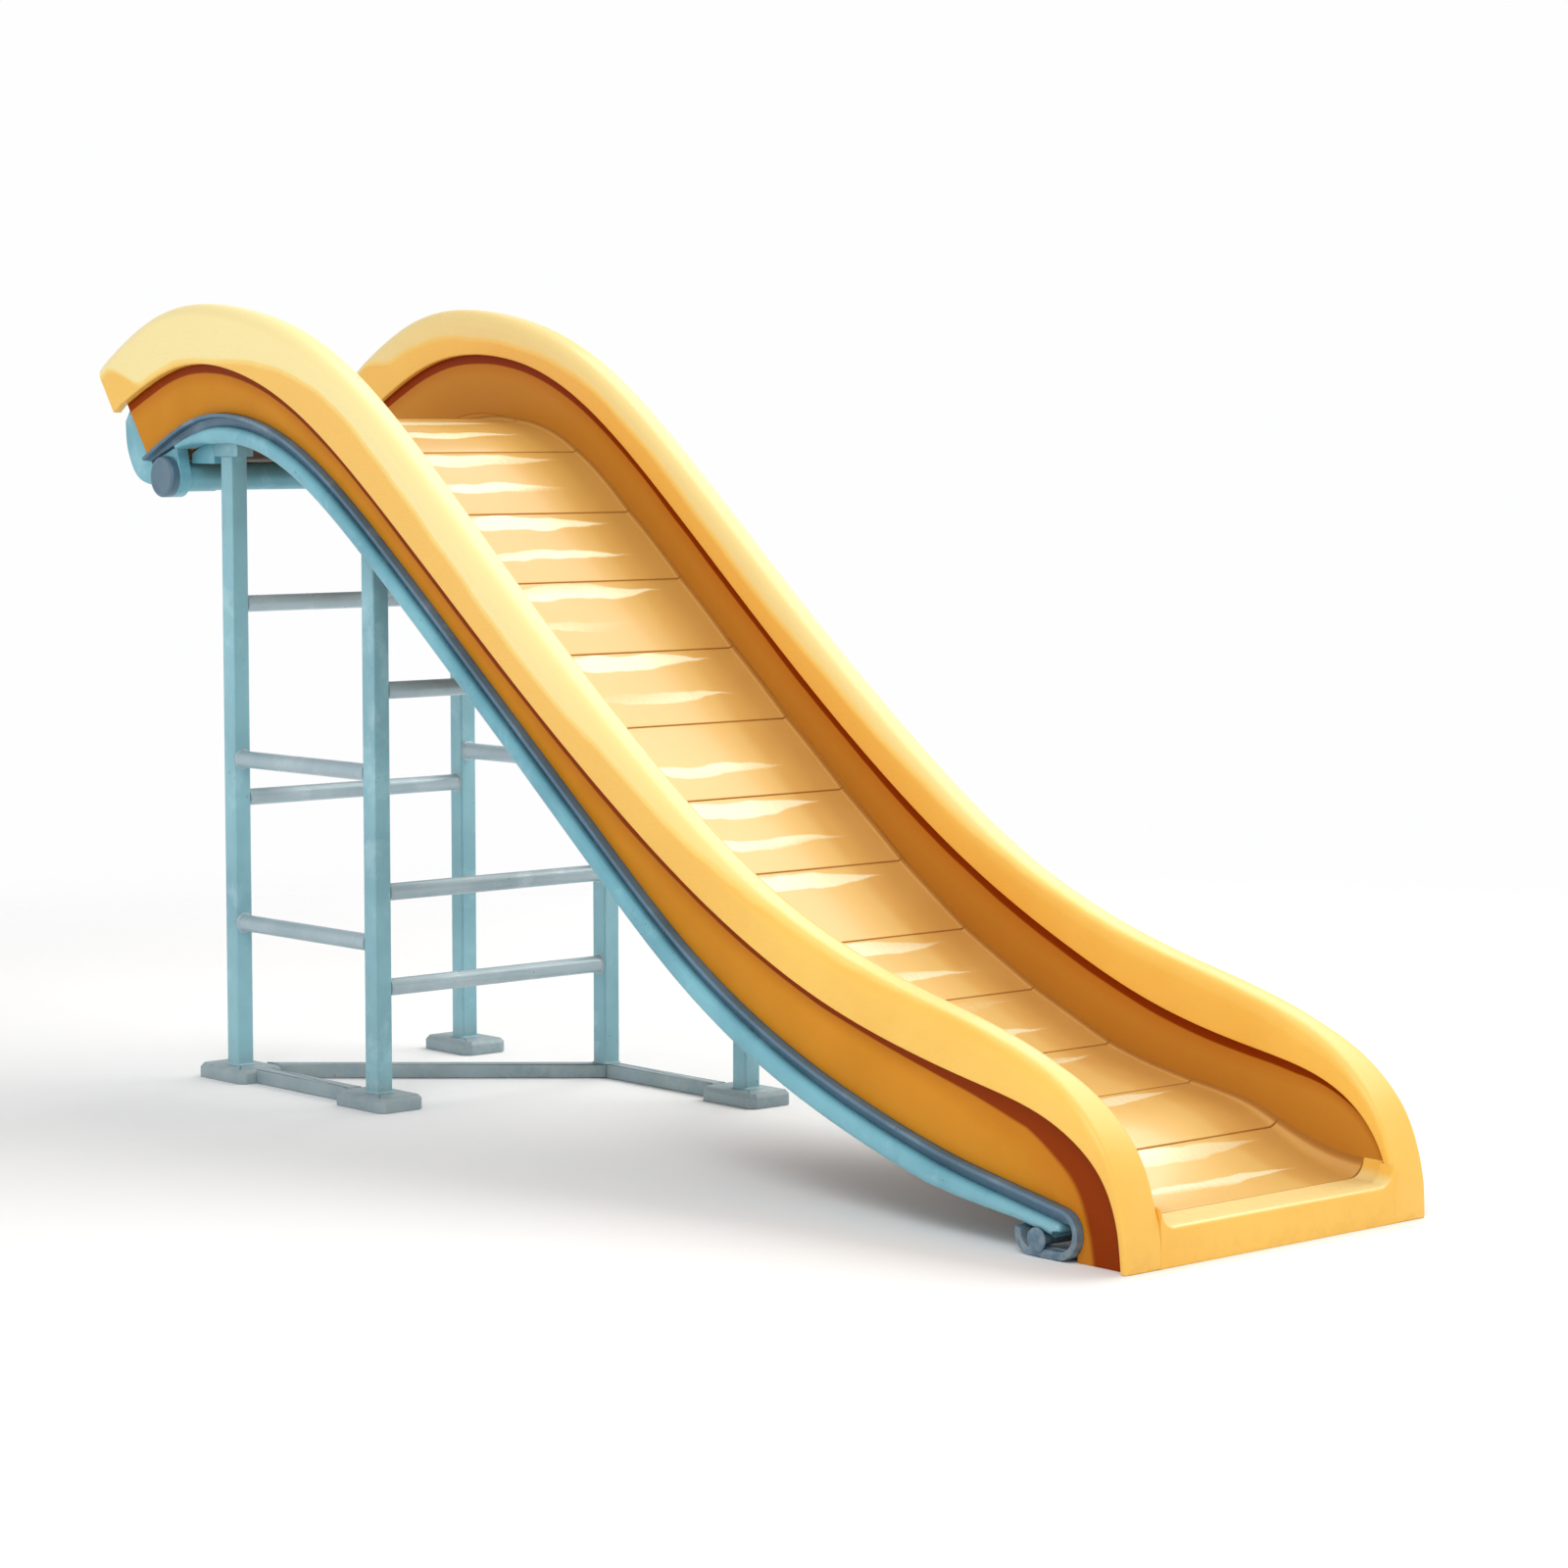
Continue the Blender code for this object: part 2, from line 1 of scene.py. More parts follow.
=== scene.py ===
"""Looks of the wave slide: a moulded honey-yellow trough on a painted steel frame.

Row frame in metres: +X downhill, +Y towards the rider's left, +Z up, floor at z = 0.
The tables and outlines are in millimetres: x downhill, y or w in from the right rim's
outer face, z up from the floor. point() turns them into the row frame.
"""

import math

import bmesh
import bpy
import numpy as np
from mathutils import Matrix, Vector


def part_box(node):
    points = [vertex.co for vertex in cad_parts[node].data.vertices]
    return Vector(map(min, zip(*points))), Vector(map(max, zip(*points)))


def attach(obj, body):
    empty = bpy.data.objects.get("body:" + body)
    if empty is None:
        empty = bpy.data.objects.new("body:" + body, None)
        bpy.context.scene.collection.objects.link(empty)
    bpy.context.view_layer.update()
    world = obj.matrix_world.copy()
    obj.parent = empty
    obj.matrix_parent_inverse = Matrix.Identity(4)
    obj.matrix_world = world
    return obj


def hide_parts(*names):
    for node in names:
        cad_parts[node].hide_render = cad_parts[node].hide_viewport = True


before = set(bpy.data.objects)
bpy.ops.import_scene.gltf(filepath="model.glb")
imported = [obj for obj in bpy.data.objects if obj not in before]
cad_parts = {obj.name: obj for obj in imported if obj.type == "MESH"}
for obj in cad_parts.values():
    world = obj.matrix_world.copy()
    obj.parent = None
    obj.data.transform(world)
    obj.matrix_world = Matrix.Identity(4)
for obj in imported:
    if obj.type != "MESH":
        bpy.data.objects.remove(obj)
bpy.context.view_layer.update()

SCENE = bpy.context.scene
MM = 0.001

# ---------------------------------------------------------------- design tables
WIDTH = 820.0
RIM_WIDTH = 90.0
WALL_OUT, WALL_IN = 22.0, 72.0
WALL_EDGE = ((0.0, 1.6), (0.5, 0.48), (1.6, 0.0))  # level and inset round a panel's edges
WALL_FLAP = (68.6, 16.0)  # thin inner edge of the side panel that hangs past the flange
FLAP_FADE = (2280.0, 2400.0)  # x over which it dies away before the curl
RIM_ROUND, FOOT_ROUND = 36.0, 9.0
RIM_SQUARES = (2450.0, 2580.0)  # x over which the rim's crest turns squarer
RIM_OVERRUN = 35.0
GAP = 0.3
RIM_STEPS = 16

# Side sections: foot x and z, lean in degrees, then outer lip, inner lip and crest up it.
STATIONS = (
    (-376, 1418, 125, 146, 151, 278),
    (-240, 1482, 112, 133, 148, 276),
    (-80, 1518, 90, 107, 138, 241),
    (100, 1494, 74, 84, 137, 223),
    (300, 1406, 60, 70, 132, 212),
    (520, 1256, 52.5, 66, 122, 200),
    (900, 962, 51, 68, 106, 184),
    (1300, 648, 51.5, 90, 112, 190),
    (1600, 430, 58, 121, 138, 213),
    (1850, 300, 66, 134, 146, 231),
    (2100, 208, 71, 147, 145, 248),
    (2300, 152, 75, 158, 154, 254),
    (2450, 122, 71, 158, 158, 234),
    (2540, 104, 55, 144, 148, 196),
    (2590, 90, 35, 126, 128, 157),
    (2610, 70, 15, 119, 121, 141),
    (2620, 38, 0, 118, 118, 136),
    (2620, 0, 0, 122, 122, 136),
)
LAST_STRAIGHT = STATIONS[12]  # past it the foot follows the curl of the rail

# Running surface: x and z.
BED = (
    (-372, 1402), (-210, 1478), (-60, 1504), (110, 1496), (260, 1448),
    (440, 1328), (900, 952), (1300, 636), (1600, 434), (1850, 312),
    (2100, 224), (2260, 197), (2390, 166), (2515, 110), (2640, 78),
    (2661, 76),
)
BED_PANELS = 15
BED_THICK = 20.0
BED_CROWN = 2.2  # each panel swells this much between its seams
BED_RINGS = 30
COVE, SILL_COVE = 8.0, 36.0
COVE_GROWS = (2300.0, 2661.0)
COVE_EDGE = 2.5
COVE_STEPS, TRAY_SPANS = 10, 12
PANEL_EASE = 2.0
SILL_BACK, SILL_STEP, SILL_FRONT = 2664.5, 2720.0, 2756.0
SILL_TOP, SILL_CLEAR = 73.0, 112.0
SILL_ROUND = 9.0

RAIL_OUT, RAIL_IN = 6.0, 66.0
FLANGE = (4.0, 68.0, 9.0)  # outer and inner edge, thickness
WEB = (22.0, 40.0)
WEB_DEPTH, WEB_FULL = 21.0, -200.0  # and the x where it is reached
TUBE_TOP = 30.3
TUBE_BOTTOM = ((1000, 66), (1700, 75), (2250, 74), (2480, 58))  # x and depth under the rail
TUBE_SWELL = (-262.0, -122.0)  # x over which the tube grows from its thin top end
TUBE_TUCK = (16.0, 3.0)  # how far back and up the tube's end turns inside the curl
CURL_START = 2592.0
CURL_FLAT, CURL_BACK = 72.0, 38.0
CURL_CLOSE = 108.0  # degrees that the back of the curl turns through
CURL_FLOOR = 1.0
FRONT_STEPS, PANEL_FOLLOWS = 40, 30  # points round its front; how many the panel follows
CURL_THICK = 16.0

POST = 44.0
POST_CORNER = 5.0
POST_SIDE = 88.3
POST_REAR, POST_FRONT, POST_LOWER = -126.0, 411.0, 900.0
POST_DROP = 42.0
SADDLE_LEVEL, SADDLE_HALF = 1420.0, 46.0
RUNG_RADIUS = 19.0
PAD = (180.0, 120.0, 32.0)
PAD_CUT, PAD_CHAMFER = 14.0, 8.0
BASE_WIDTH, BASE_HEIGHT = 40.0, 32.0
REAR_TUBE = (-300.0, 1374.0, 32.0)  # x, z, radius
REAR_STUB = (34.5, 150.0)  # radius, inner end
COLLAR = (47.0, 6.0, 27.7)  # radius, outer and inner face
HOOK = (28.0, 60.0)
HOOK_REACH = (-268.0, -346.0)  # x of its edge under the rail
HOOK_MEETS = -150.0  # degrees round the collar where the hook's back runs into it
HOOK_BACK = ((-480.0, 1500.0), (-476.0, 1448.0), (-458.0, 1404.0), (-420.0, 1366.0))
GUSSET = (-262.0, 1404.0)  # x of its tip, z of its bottom
LOWER_TIE = (2532.0, 32.0, 13.0)  # x, z, radius
TIE_CAP = (22.5, 0.5, 3.7)  # radius, outer and inner face
MID_TIE = (815.0, 17.0, 61.0)  # x, radius, depth under the rail

# Width of the painted shadow band under each lip, by the section's x, and the levels across it.
OUTER_SHADOW = (
    (100.0, 20.0), (600.0, 25.0), (1300.0, 26.0), (1850.0, 20.0), (2100.0, 21.0),
    (2300.0, 32.0), (2450.0, 46.0), (2600.0, 86.0),
)
INNER_SHADOW = ((0.0, 20.0), (700.0, 27.0), (1850.0, 26.0), (2450.0, 22.0), (2600.0, 10.0))
SHADOW_LEVELS = (-0.3, 0.2, 0.6, 0.9, 1.1, 1.6)
UNSHADED = 9.0

LATHE_SIDES, RUNG_SIDES = 64, 120
WELD = 5.0  # leg of a weld fillet
WELD_RIPPLE = 0.45
WELD_PITCH = 4.5
WELD_STOPS = (0.0, 0.5, 1.1, 1.8, 2.6, 3.5, 4.3, 5.0, 6.5)  # rings, by distance from a joint

# Where x = 0 of the tables lies in the row frame.
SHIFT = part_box("exit_sill")[1].x - SILL_FRONT * MM


def point(x, y, z):
    return (x * MM + SHIFT, (y - WIDTH / 2) * MM, z * MM)


def mirrored(side, y):
    return y if side == "right" else WIDTH - y


# ---------------------------------------------------------------- curves
def cubic(knots, values, at):
    """Natural cubic spline through values at knots."""
    k = np.asarray(knots, float)
    y = np.asarray(values, float)
    h = np.diff(k)
    n = len(k)
    a = np.eye(n)
    b = np.zeros(n)
    for i in range(1, n - 1):
        a[i, i - 1] = h[i - 1]
        a[i, i] = 2 * (h[i - 1] + h[i])
        a[i, i + 1] = h[i]
        b[i] = 6 * ((y[i + 1] - y[i]) / h[i] - (y[i] - y[i - 1]) / h[i - 1])
    m = np.linalg.solve(a, b)
    at = np.asarray(at, float)
    i = np.clip(np.searchsorted(k, at, side="right") - 1, 0, n - 2)
    d0 = at - k[i]
    d1 = k[i + 1] - at
    hi = h[i]
    return (
        (m[i] * d1**3 + m[i + 1] * d0**3) / (6 * hi)
        + (y[i] / hi - m[i] * hi / 6) * d1
        + (y[i + 1] / hi - m[i + 1] * hi / 6) * d0
    )


def chord(points):
    p = np.asarray(points, float)
    steps = np.hypot(np.diff(p[:, 0]), np.diff(p[:, 1]))
    return np.concatenate(([0.0], np.cumsum(steps)))


def directions(points):
    p = np.asarray(points, float)
    d = np.gradient(p, axis=0)
    d[0] = p[1] - p[0]
    d[-1] = p[-1] - p[-2]
    return d / np.linalg.norm(d, axis=1)[:, None]


def arc_corner(before, corner, after, radius, steps):
    """The corner of a polygon turned into an arc of steps + 1 points."""
    p = np.asarray(corner, float)
    u = np.asarray(before, float) - p
    v = np.asarray(after, float) - p
    lu, lv = np.linalg.norm(u), np.linalg.norm(v)
    u, v = u / lu, v / lv
    half = 0.5 * math.acos(float(np.clip(u @ v, -1.0, 1.0)))
    reach = min(radius / math.tan(half), 0.49 * min(lu, lv))
    bisector = (u + v) / np.linalg.norm(u + v)
    centre = p + bisector * reach * math.tan(half) / math.sin(half)
    a, b = p + u * reach - centre, p + v * reach - centre
    turn = math.pi - 2 * half
    arc = []
    for i in range(steps + 1):
        s = i / steps
        near = math.sin((1 - s) * turn) / math.sin(turn)
        far = math.sin(s * turn) / math.sin(turn)
        arc.append(centre + a * near + b * far)
    return arc


def rounded(corners, radii, steps):
    """Closed polygon with an arc at every corner."""
    n = len(corners)
    out = []
    for i in range(n):
        before, corner, after = corners[i - 1], corners[i], corners[(i + 1) % n]
        out.extend(arc_corner(before, corner, after, radii[i], steps[i]))
    return np.array(out)


def inset(ring, distance):
    """A closed 2-D ring moved inwards along its normals."""
    p = np.asarray(ring, float)
    d = np.roll(p, -1, axis=0) - np.roll(p, 1, axis=0)
    d /= np.maximum(np.linalg.norm(d, axis=1), 1e-9)[:, None]
    area = np.sum(p[:, 0] * np.roll(p[:, 1], -1) - np.roll(p[:, 0], -1) * p[:, 1])
    sign = 1.0 if area > 0 else -1.0
    return p + sign * distance * np.column_stack((-d[:, 1], d[:, 0]))


def edge_steps(radius, steps=4):
    """(inset, back) pairs that round the edge of an end cap, from the cap inwards."""
    pairs = []
    for i in range(steps + 1):
        b = 0.5 * math.pi * i / steps
        pairs.append((radius * (1 - math.sin(b)), radius * (1 - math.cos(b))))
    return pairs


def eased(start, end, radius):
    """(place, inset) pairs from start to end of a bar or plate with rounded edges."""
    pairs = edge_steps(radius)
    ends = [(start + back, depth) for depth, back in pairs]
    return ends + [(end - back, depth) for depth, back in pairs[::-1]]


def resampled(ring, spacing):
    """The closed ring again, with points every spacing or so."""
    p = np.vstack((ring, ring[:1]))
    at = chord(p)
    count = int(at[-1] / spacing)
    new = np.linspace(0, at[-1], count, endpoint=False)
    return np.column_stack((np.interp(new, at, p[:, 0]), np.interp(new, at, p[:, 1])))


# ---------------------------------------------------------------- side sections
def side_sections():
    """Foot x and z, lean, outer lip, inner lip and crest, from the top to the exit."""
    s = np.asarray(STATIONS, float)
    lean = np.radians(s[:, 2])
    crest = s[:, :2] + s[:, 5:6] * np.column_stack((np.cos(lean), np.sin(lean)))
    knots = chord(crest)
    at = []
    for a, b in zip(knots[:-1], knots[1:]):
        at.extend(np.linspace(a, b, RIM_STEPS, endpoint=False))
    at.append(knots[-1])
    return np.column_stack([cubic(knots, s[:, i], at) for i in range(6)])


SECTIONS = side_sections()


def along(section, distance):
    a = math.radians(section[2])
    return section[0] + distance * math.cos(a), section[1] + distance * math.sin(a)


def wall_top(section):
    return 0.5 * (max(section[3], section[4]) + section[5])


def on_rail(section):
    return section[0] <= LAST_STRAIGHT[0] + 0.01


def rail_line():
    """Top of the rail, up to the curl."""
    x0, z0 = LAST_STRAIGHT[:2]
    pts = [(s[0], s[1]) for s in SECTIONS if on_rail(s)]
    slope = (pts[-1][1] - pts[-2][1]) / (pts[-1][0] - pts[-2][0])
    for x in np.linspace(x0, CURL_START, 9)[1:]:
        pts.append((x, z0 + slope * (x - x0)))
    return pts


RAIL = rail_line()
RAIL_DIRS = directions(RAIL)


def rail_height(x):
    return float(np.interp(x, [p[0] for p in RAIL], [p[1] for p in RAIL]))


def below_rail(x, depth):
    """Height at x of a line parallel to the rail, depth below it."""
    slope = (rail_height(x + 10) - rail_height(x - 10)) / 20.0
    return rail_height(x) - depth * math.hypot(1.0, slope)


CURL_FRONT = (RAIL[-1][1] - CURL_FLOOR) / (1.0 + RAIL_DIRS[-1][0])


def curl_points():
    """Outer face of the flange round the curl: points and directions."""
    d = RAIL_DIRS[-1]
    x, z = RAIL[-1]
    cx, cz = x + CURL_FRONT * d[1], z - CURL_FRONT * d[0]
    down = -math.pi / 2
    front = np.linspace(math.atan2(z - cz, x - cx), down, FRONT_STEPS + 1)[1:]
    back = np.linspace(down, down - math.radians(CURL_CLOSE), 29)
    bx, bz = cx - CURL_FLAT, cz - CURL_FRONT + CURL_BACK
    pts = [(cx + CURL_FRONT * math.cos(a), cz + CURL_FRONT * math.sin(a)) for a in front]
    pts += [(bx + CURL_BACK * math.cos(a), bz + CURL_BACK * math.sin(a)) for a in back]
    return pts, [(math.sin(a), -math.cos(a)) for a in (*front, *back)]


CURL, CURL_DIRS = curl_points()


# ---------------------------------------------------------------- mesh helpers
def skin(name, rings, run=None):
    """Closed smooth body through rings of row-frame points, with flat end caps.

    run holds one vector for each point, kept as the mesh attribute "run".
    """
    rings = np.asarray(rings, float)
    rows, n = rings.shape[:2]
    faces = []
    for r in range(rows - 1):
        a, b = r * n, (r + 1) * n
        for i in range(n):
            j = (i + 1) % n
            faces.append((a + i, a + j, b + j, b + i))
    faces.append(tuple(range(n))[::-1])
    faces.append(tuple(range((rows - 1) * n, rows * n)))
    mesh = bpy.data.meshes.new(name)
    mesh.from_pydata([tuple(p) for p in rings.reshape(-1, 3)], [], faces)
    if run is not None:
        layer = mesh.attributes.new("run", "FLOAT_VECTOR", "POINT")
        layer.data.foreach_set("vector", np.asarray(run, np.float32).ravel())
    bm = bmesh.new()
    bm.from_mesh(mesh)
    bmesh.ops.recalc_face_normals(bm, faces=bm.faces)
    bm.faces.ensure_lookup_table()
    caps = [f for f in bm.faces if len(f.verts) > 4]
    for f in bm.faces:
        f.smooth = len(f.verts) <= 4
    bmesh.ops.triangulate(bm, faces=caps)
    bm.to_mesh(mesh)
    bm.free()
    mesh.set_sharp_from_angle(angle=math.radians(50))
    obj = bpy.data.objects.new(name, mesh)
    SCENE.collection.objects.link(obj)
    return obj


def piece(name, node, material, rings, run=None):
    """A piece that takes the place of a CAD node and rides on the part's only body."""
    obj = skin(name, rings, run)
    obj.data.materials.append(material)
    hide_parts(node)
    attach(obj, "root")


def across(outline, y0, y1, edge):
    """Rings of an (x, z) outline carried from y0 to y1 with eased edges."""
    stops = eased(min(y0, y1), max(y0, y1), edge)
    return [[point(x, y, z) for x, z in inset(outline, depth)] for y, depth in stops]


def turned(profile, centre):
    """Rings of a lathe profile of (y, radius) pairs about an axis across the slide."""
    x, z = centre
    turns = [2 * math.pi * i / LATHE_SIDES for i in range(LATHE_SIDES)]
    return [
        [point(x + r * math.cos(a), y, z + r * math.sin(a)) for a in turns]
        for y, r in profile
    ]


# ---------------------------------------------------------------- materials
def set_inputs(node, values):
    for name, value in values.items():
        node.inputs[name].default_value = value
    return node


class Nodes:
    """A node tree with a few short ways to add procedural nodes."""

    def __init__(self, tree):
        self.tree = tree

    def node(self, kind):
        return self.tree.nodes.new("ShaderNode" + kind)

    def link(self, a, b):
        self.tree.links.new(a, b)

    def spot(self):
        """Object coordinates: Y to the rider's left, Z up from the floor."""
        return self.node("TexCoord").outputs["Object"]

    def run(self):
        """The run of skin(): X along the piece, Y its w, Z as the piece's text says."""
        source = self.node("Attribute")
        source.attribute_name = "run"
        return source.outputs["Vector"]

    def part(self, vector, axis):
        split = self.node("SeparateXYZ")
        self.link(vector, split.inputs["Vector"])
        return split.outputs[axis]

    def stretched(self, vector, scale):
        mapping = set_inputs(self.node("Mapping"), {"Scale": scale})
        self.link(vector, mapping.inputs["Vector"])
        return mapping.outputs["Vector"]

    def noise(self, scale, detail=3.0, rough=0.5, vector=None, warp=0.0):
        n = set_inputs(self.node("TexNoise"), {
            "Scale": scale, "Detail": detail, "Roughness": rough, "Distortion": warp,
        })
        self.link(vector or self.spot(), n.inputs["Vector"])
        return n.outputs["Fac"]

    def fade(self, value, low, high, to_low=0.0, to_high=1.0):
        """value mapped from low..high onto to_low..to_high, clamped, with soft ends."""
        m = set_inputs(self.node("MapRange"), {
            "From Min": low, "From Max": high, "To Min": to_low, "To Max": to_high,
        })
        m.interpolation_type = "SMOOTHSTEP"
        self.link(value, m.inputs["Value"])
        return m.outputs["Result"]

    def maths(self, operation, a, b=0.0):
        m = self.node("Math")
        m.operation = operation
        for socket, value in zip(m.inputs, (a, b)):
            if isinstance(value, (int, float)):
                socket.default_value = value
            else:
                self.link(value, socket)
        return m.outputs["Value"]

    def times(self, a, b):
        return self.maths("MULTIPLY", a, b)

    def plus(self, a, b):
        return self.maths("ADD", a, b)

    def mix(self, factor, a, b):
        """Two colours, or colour sockets, mixed by a factor socket.

        The Mix node's colour sockets are its inputs 6 and 7 and its output 2.
        """
        m = self.node("Mix")
        m.data_type = "RGBA"
        self.link(factor, m.inputs["Factor"])
        for socket, value in ((m.inputs[6], a), (m.inputs[7], b)):
            if isinstance(value, tuple):
                socket.default_value = (*value, 1.0)
            else:
                self.link(value, socket)
        return m.outputs[2]

    def facing_up(self, low, high):
        """0 to 1 as the surface turns from low to high towards the sky."""
        normal = self.node("NewGeometry").outputs["Normal"]
        return self.fade(self.part(normal, "Z"), low, high)


class Shader(Nodes):
    """A Principled material."""

    def __init__(self, name, roughness, metallic=0.0, specular=0.5, coat=0.0):
        self.mat = bpy.data.materials.new(name)
        self.mat.use_nodes = True
        super().__init__(self.mat.node_tree)
        self.bsdf = set_inputs(self.tree.nodes["Principled BSDF"], {
            "Roughness": roughness, "Metallic": metallic, "Specular IOR Level": specular,
            "Coat Weight": coat, "Coat Roughness": 0.12,
        })
        self.height = None

    def bump(self, height, strength, distance):
        b = set_inputs(self.node("Bump"), {"Strength": strength, "Distance": distance})
        self.link(height, b.inputs["Height"])
        if self.height is not None:
            self.link(self.height, b.inputs["Normal"])
        self.height = b.outputs["Normal"]
        self.link(self.height, self.bsdf.inputs["Normal"])

    def colour(self, socket):
        self.link(socket, self.bsdf.inputs["Base Color"])

    def roughness(self, socket):
        self.link(socket, self.bsdf.inputs["Roughness"])


def srgb(r, g, b):
    """Display colour, 0 to 255, as linear values."""
    out = []
    for c in (r, g, b):
        c /= 255.0
        out.append(c / 12.92 if c <= 0.04045 else ((c + 0.055) / 1.055) ** 2.4)
    return tuple(out)


def moulded(name, deep, main, specular, coat):
    """Rotationally moulded polyethylene: mottled, scuffed along its length, finely pitted.

    Returns the shader and its body colour, for each piece to add its own weathering and its painted
    light and shade.
    """
    s = Shader(name, 0.34, specular=specular, coat=coat)
    cloud = s.noise(2.2, 4.0, 0.55)
    body = s.mix(s.fade(cloud, 0.32, 0.68), deep, main)
    speck = s.fade(s.noise(420.0, 1.0, 0.5), 0.70, 0.78, 0.0, 0.18)
    body = s.mix(speck, body, deep)
    fine = s.noise(38.0, 3.0, 0.6)
    dust = s.times(s.fade(s.part(s.spot(), "Z"), 0.09, 0.0), s.fade(fine, 0.4, 0.65))
    body = s.mix(s.times(dust, 0.12), body, srgb(196, 152, 96))
    scuffs = s.noise(60.0, 4.0, 0.7, s.stretched(s.spot(), (1.0, 14.0, 14.0)), 0.4)
    s.roughness(s.plus(s.fade(scuffs, 0.35, 0.75, 0.26, 0.44), s.times(dust, 0.25)))
    s.bump(s.noise(240.0, 2.0, 0.5), 0.10, 0.0012)
    s.bump(s.fade(scuffs, 0.60, 0.74), 0.06, 0.0008)
    return s, body


def rim_plastic():
    """Deepest at the lips and the exit; painted highlight in pale and yellow bands below the crest,
    weaker on the left rim, which the key light brightens; painted shade over the middle of the run.
    """
    s, body = moulded("rim_plastic", srgb(242, 188, 84), srgb(249, 202, 98), 0.28, 0.05)
    height = s.part(s.spot(), "Z")
    way = s.part(s.run(), "X")
    # Painted shade: a deeper orange over the middle of the run, above 0.4 m and past the top end.
    painted_mid_run_shade = s.times(s.fade(height, 0.4, 0.9), s.fade(way, 0.5, 0.9))
    body = s.mix(painted_mid_run_shade, body, srgb(243, 192, 94))
    # Painted highlight: pale and yellow bands down from the crest, wider high up and towards the
    # top end, half as wide on the inner side, none near the floor.
    wander = s.noise(2.6, 3.0, 0.55, s.stretched(s.run(), (1.0, 2.0, 1.0)))
    drop = s.plus(s.part(s.run(), "Z"), s.fade(wander, 0.3, 0.7, -0.005, 0.005))
    reach = s.plus(s.fade(height, 0.45, 1.1, 0.0, 0.058), s.fade(way, 1.05, 0.45, 0.0, 0.070))
    reach = s.times(reach, s.fade(s.part(s.run(), "Y"), 0.040, 0.050, 1.0, 0.5))
    reach = s.times(reach, s.fade(way, 0.03, 0.16, 0.25, 1.0))
    past = s.plus(drop, s.times(reach, -1.0))
    high = s.fade(height, 0.12, 0.42)
    painted_highlight_fringe = s.times(s.fade(past, 0.014, 0.002), high)
    body = s.mix(painted_highlight_fringe, body, srgb(248, 212, 118))
    painted_crest_highlight = s.times(s.fade(past, 0.002, -0.006), s.fade(height, 0.45, 1.3, 0.35, 1.0))
    painted_crest_highlight = s.times(painted_crest_highlight, high)
    body = s.mix(painted_crest_highlight, body, srgb(248, 229, 162))
    # The painted highlight is toned down on the left rim, which the key light already brightens.
    key_lit_left_rim = s.fade(s.part(s.spot(), "Y"), 0.30, 0.34, 0.0, 0.8)
    body = s.mix(s.times(painted_crest_highlight, key_lit_left_rim), body, srgb(234, 206, 134))
    s.colour(body)
    return s.mat


def wall_plastic():
    """Deeper tone, with a painted shadow under each lip: a dark red-brown band and a softer
    darkening below it.
    """
    s, body = moulded("wall_plastic", srgb(198, 128, 30), srgb(212, 141, 40), 0.06, 0.0)
    # Painted light: the inner face gets a less saturated tone than the outer face, to offset the
    # orange light bounced round inside the trough.
    inner_face_light_offset = s.fade(s.part(s.run(), "Y"), 0.045, 0.055, 0.0, 0.8)
    body = s.mix(inner_face_light_offset, body, srgb(196, 138, 56))
    # Painted shadow under each lip: a soft darkening that starts about two and a half band widths
    # below the lip, and the dark red-brown band right under it.
    wander = s.noise(4.0, 2.0, 0.5)
    drop = s.plus(s.part(s.run(), "Z"), s.fade(wander, 0.3, 0.7, -0.06, 0.06))
    body = s.mix(s.fade(drop, 2.6, 1.0, 0.0, 0.35), body, srgb(176, 92, 18))
    body = s.mix(s.fade(drop, 1.10, 0.90), body, srgb(138, 52, 0))
    s.colour(body)
    return s.mat


def sill_plastic():
    s, body = moulded("sill_plastic", srgb(242, 186, 80), srgb(249, 199, 92), 0.28, 0.05)
    # Painted highlight: faces turned up are mixed to a pale yellow.
    s.colour(s.mix(s.facing_up(0.35, 0.95), body, srgb(248, 222, 150)))
    return s.mat


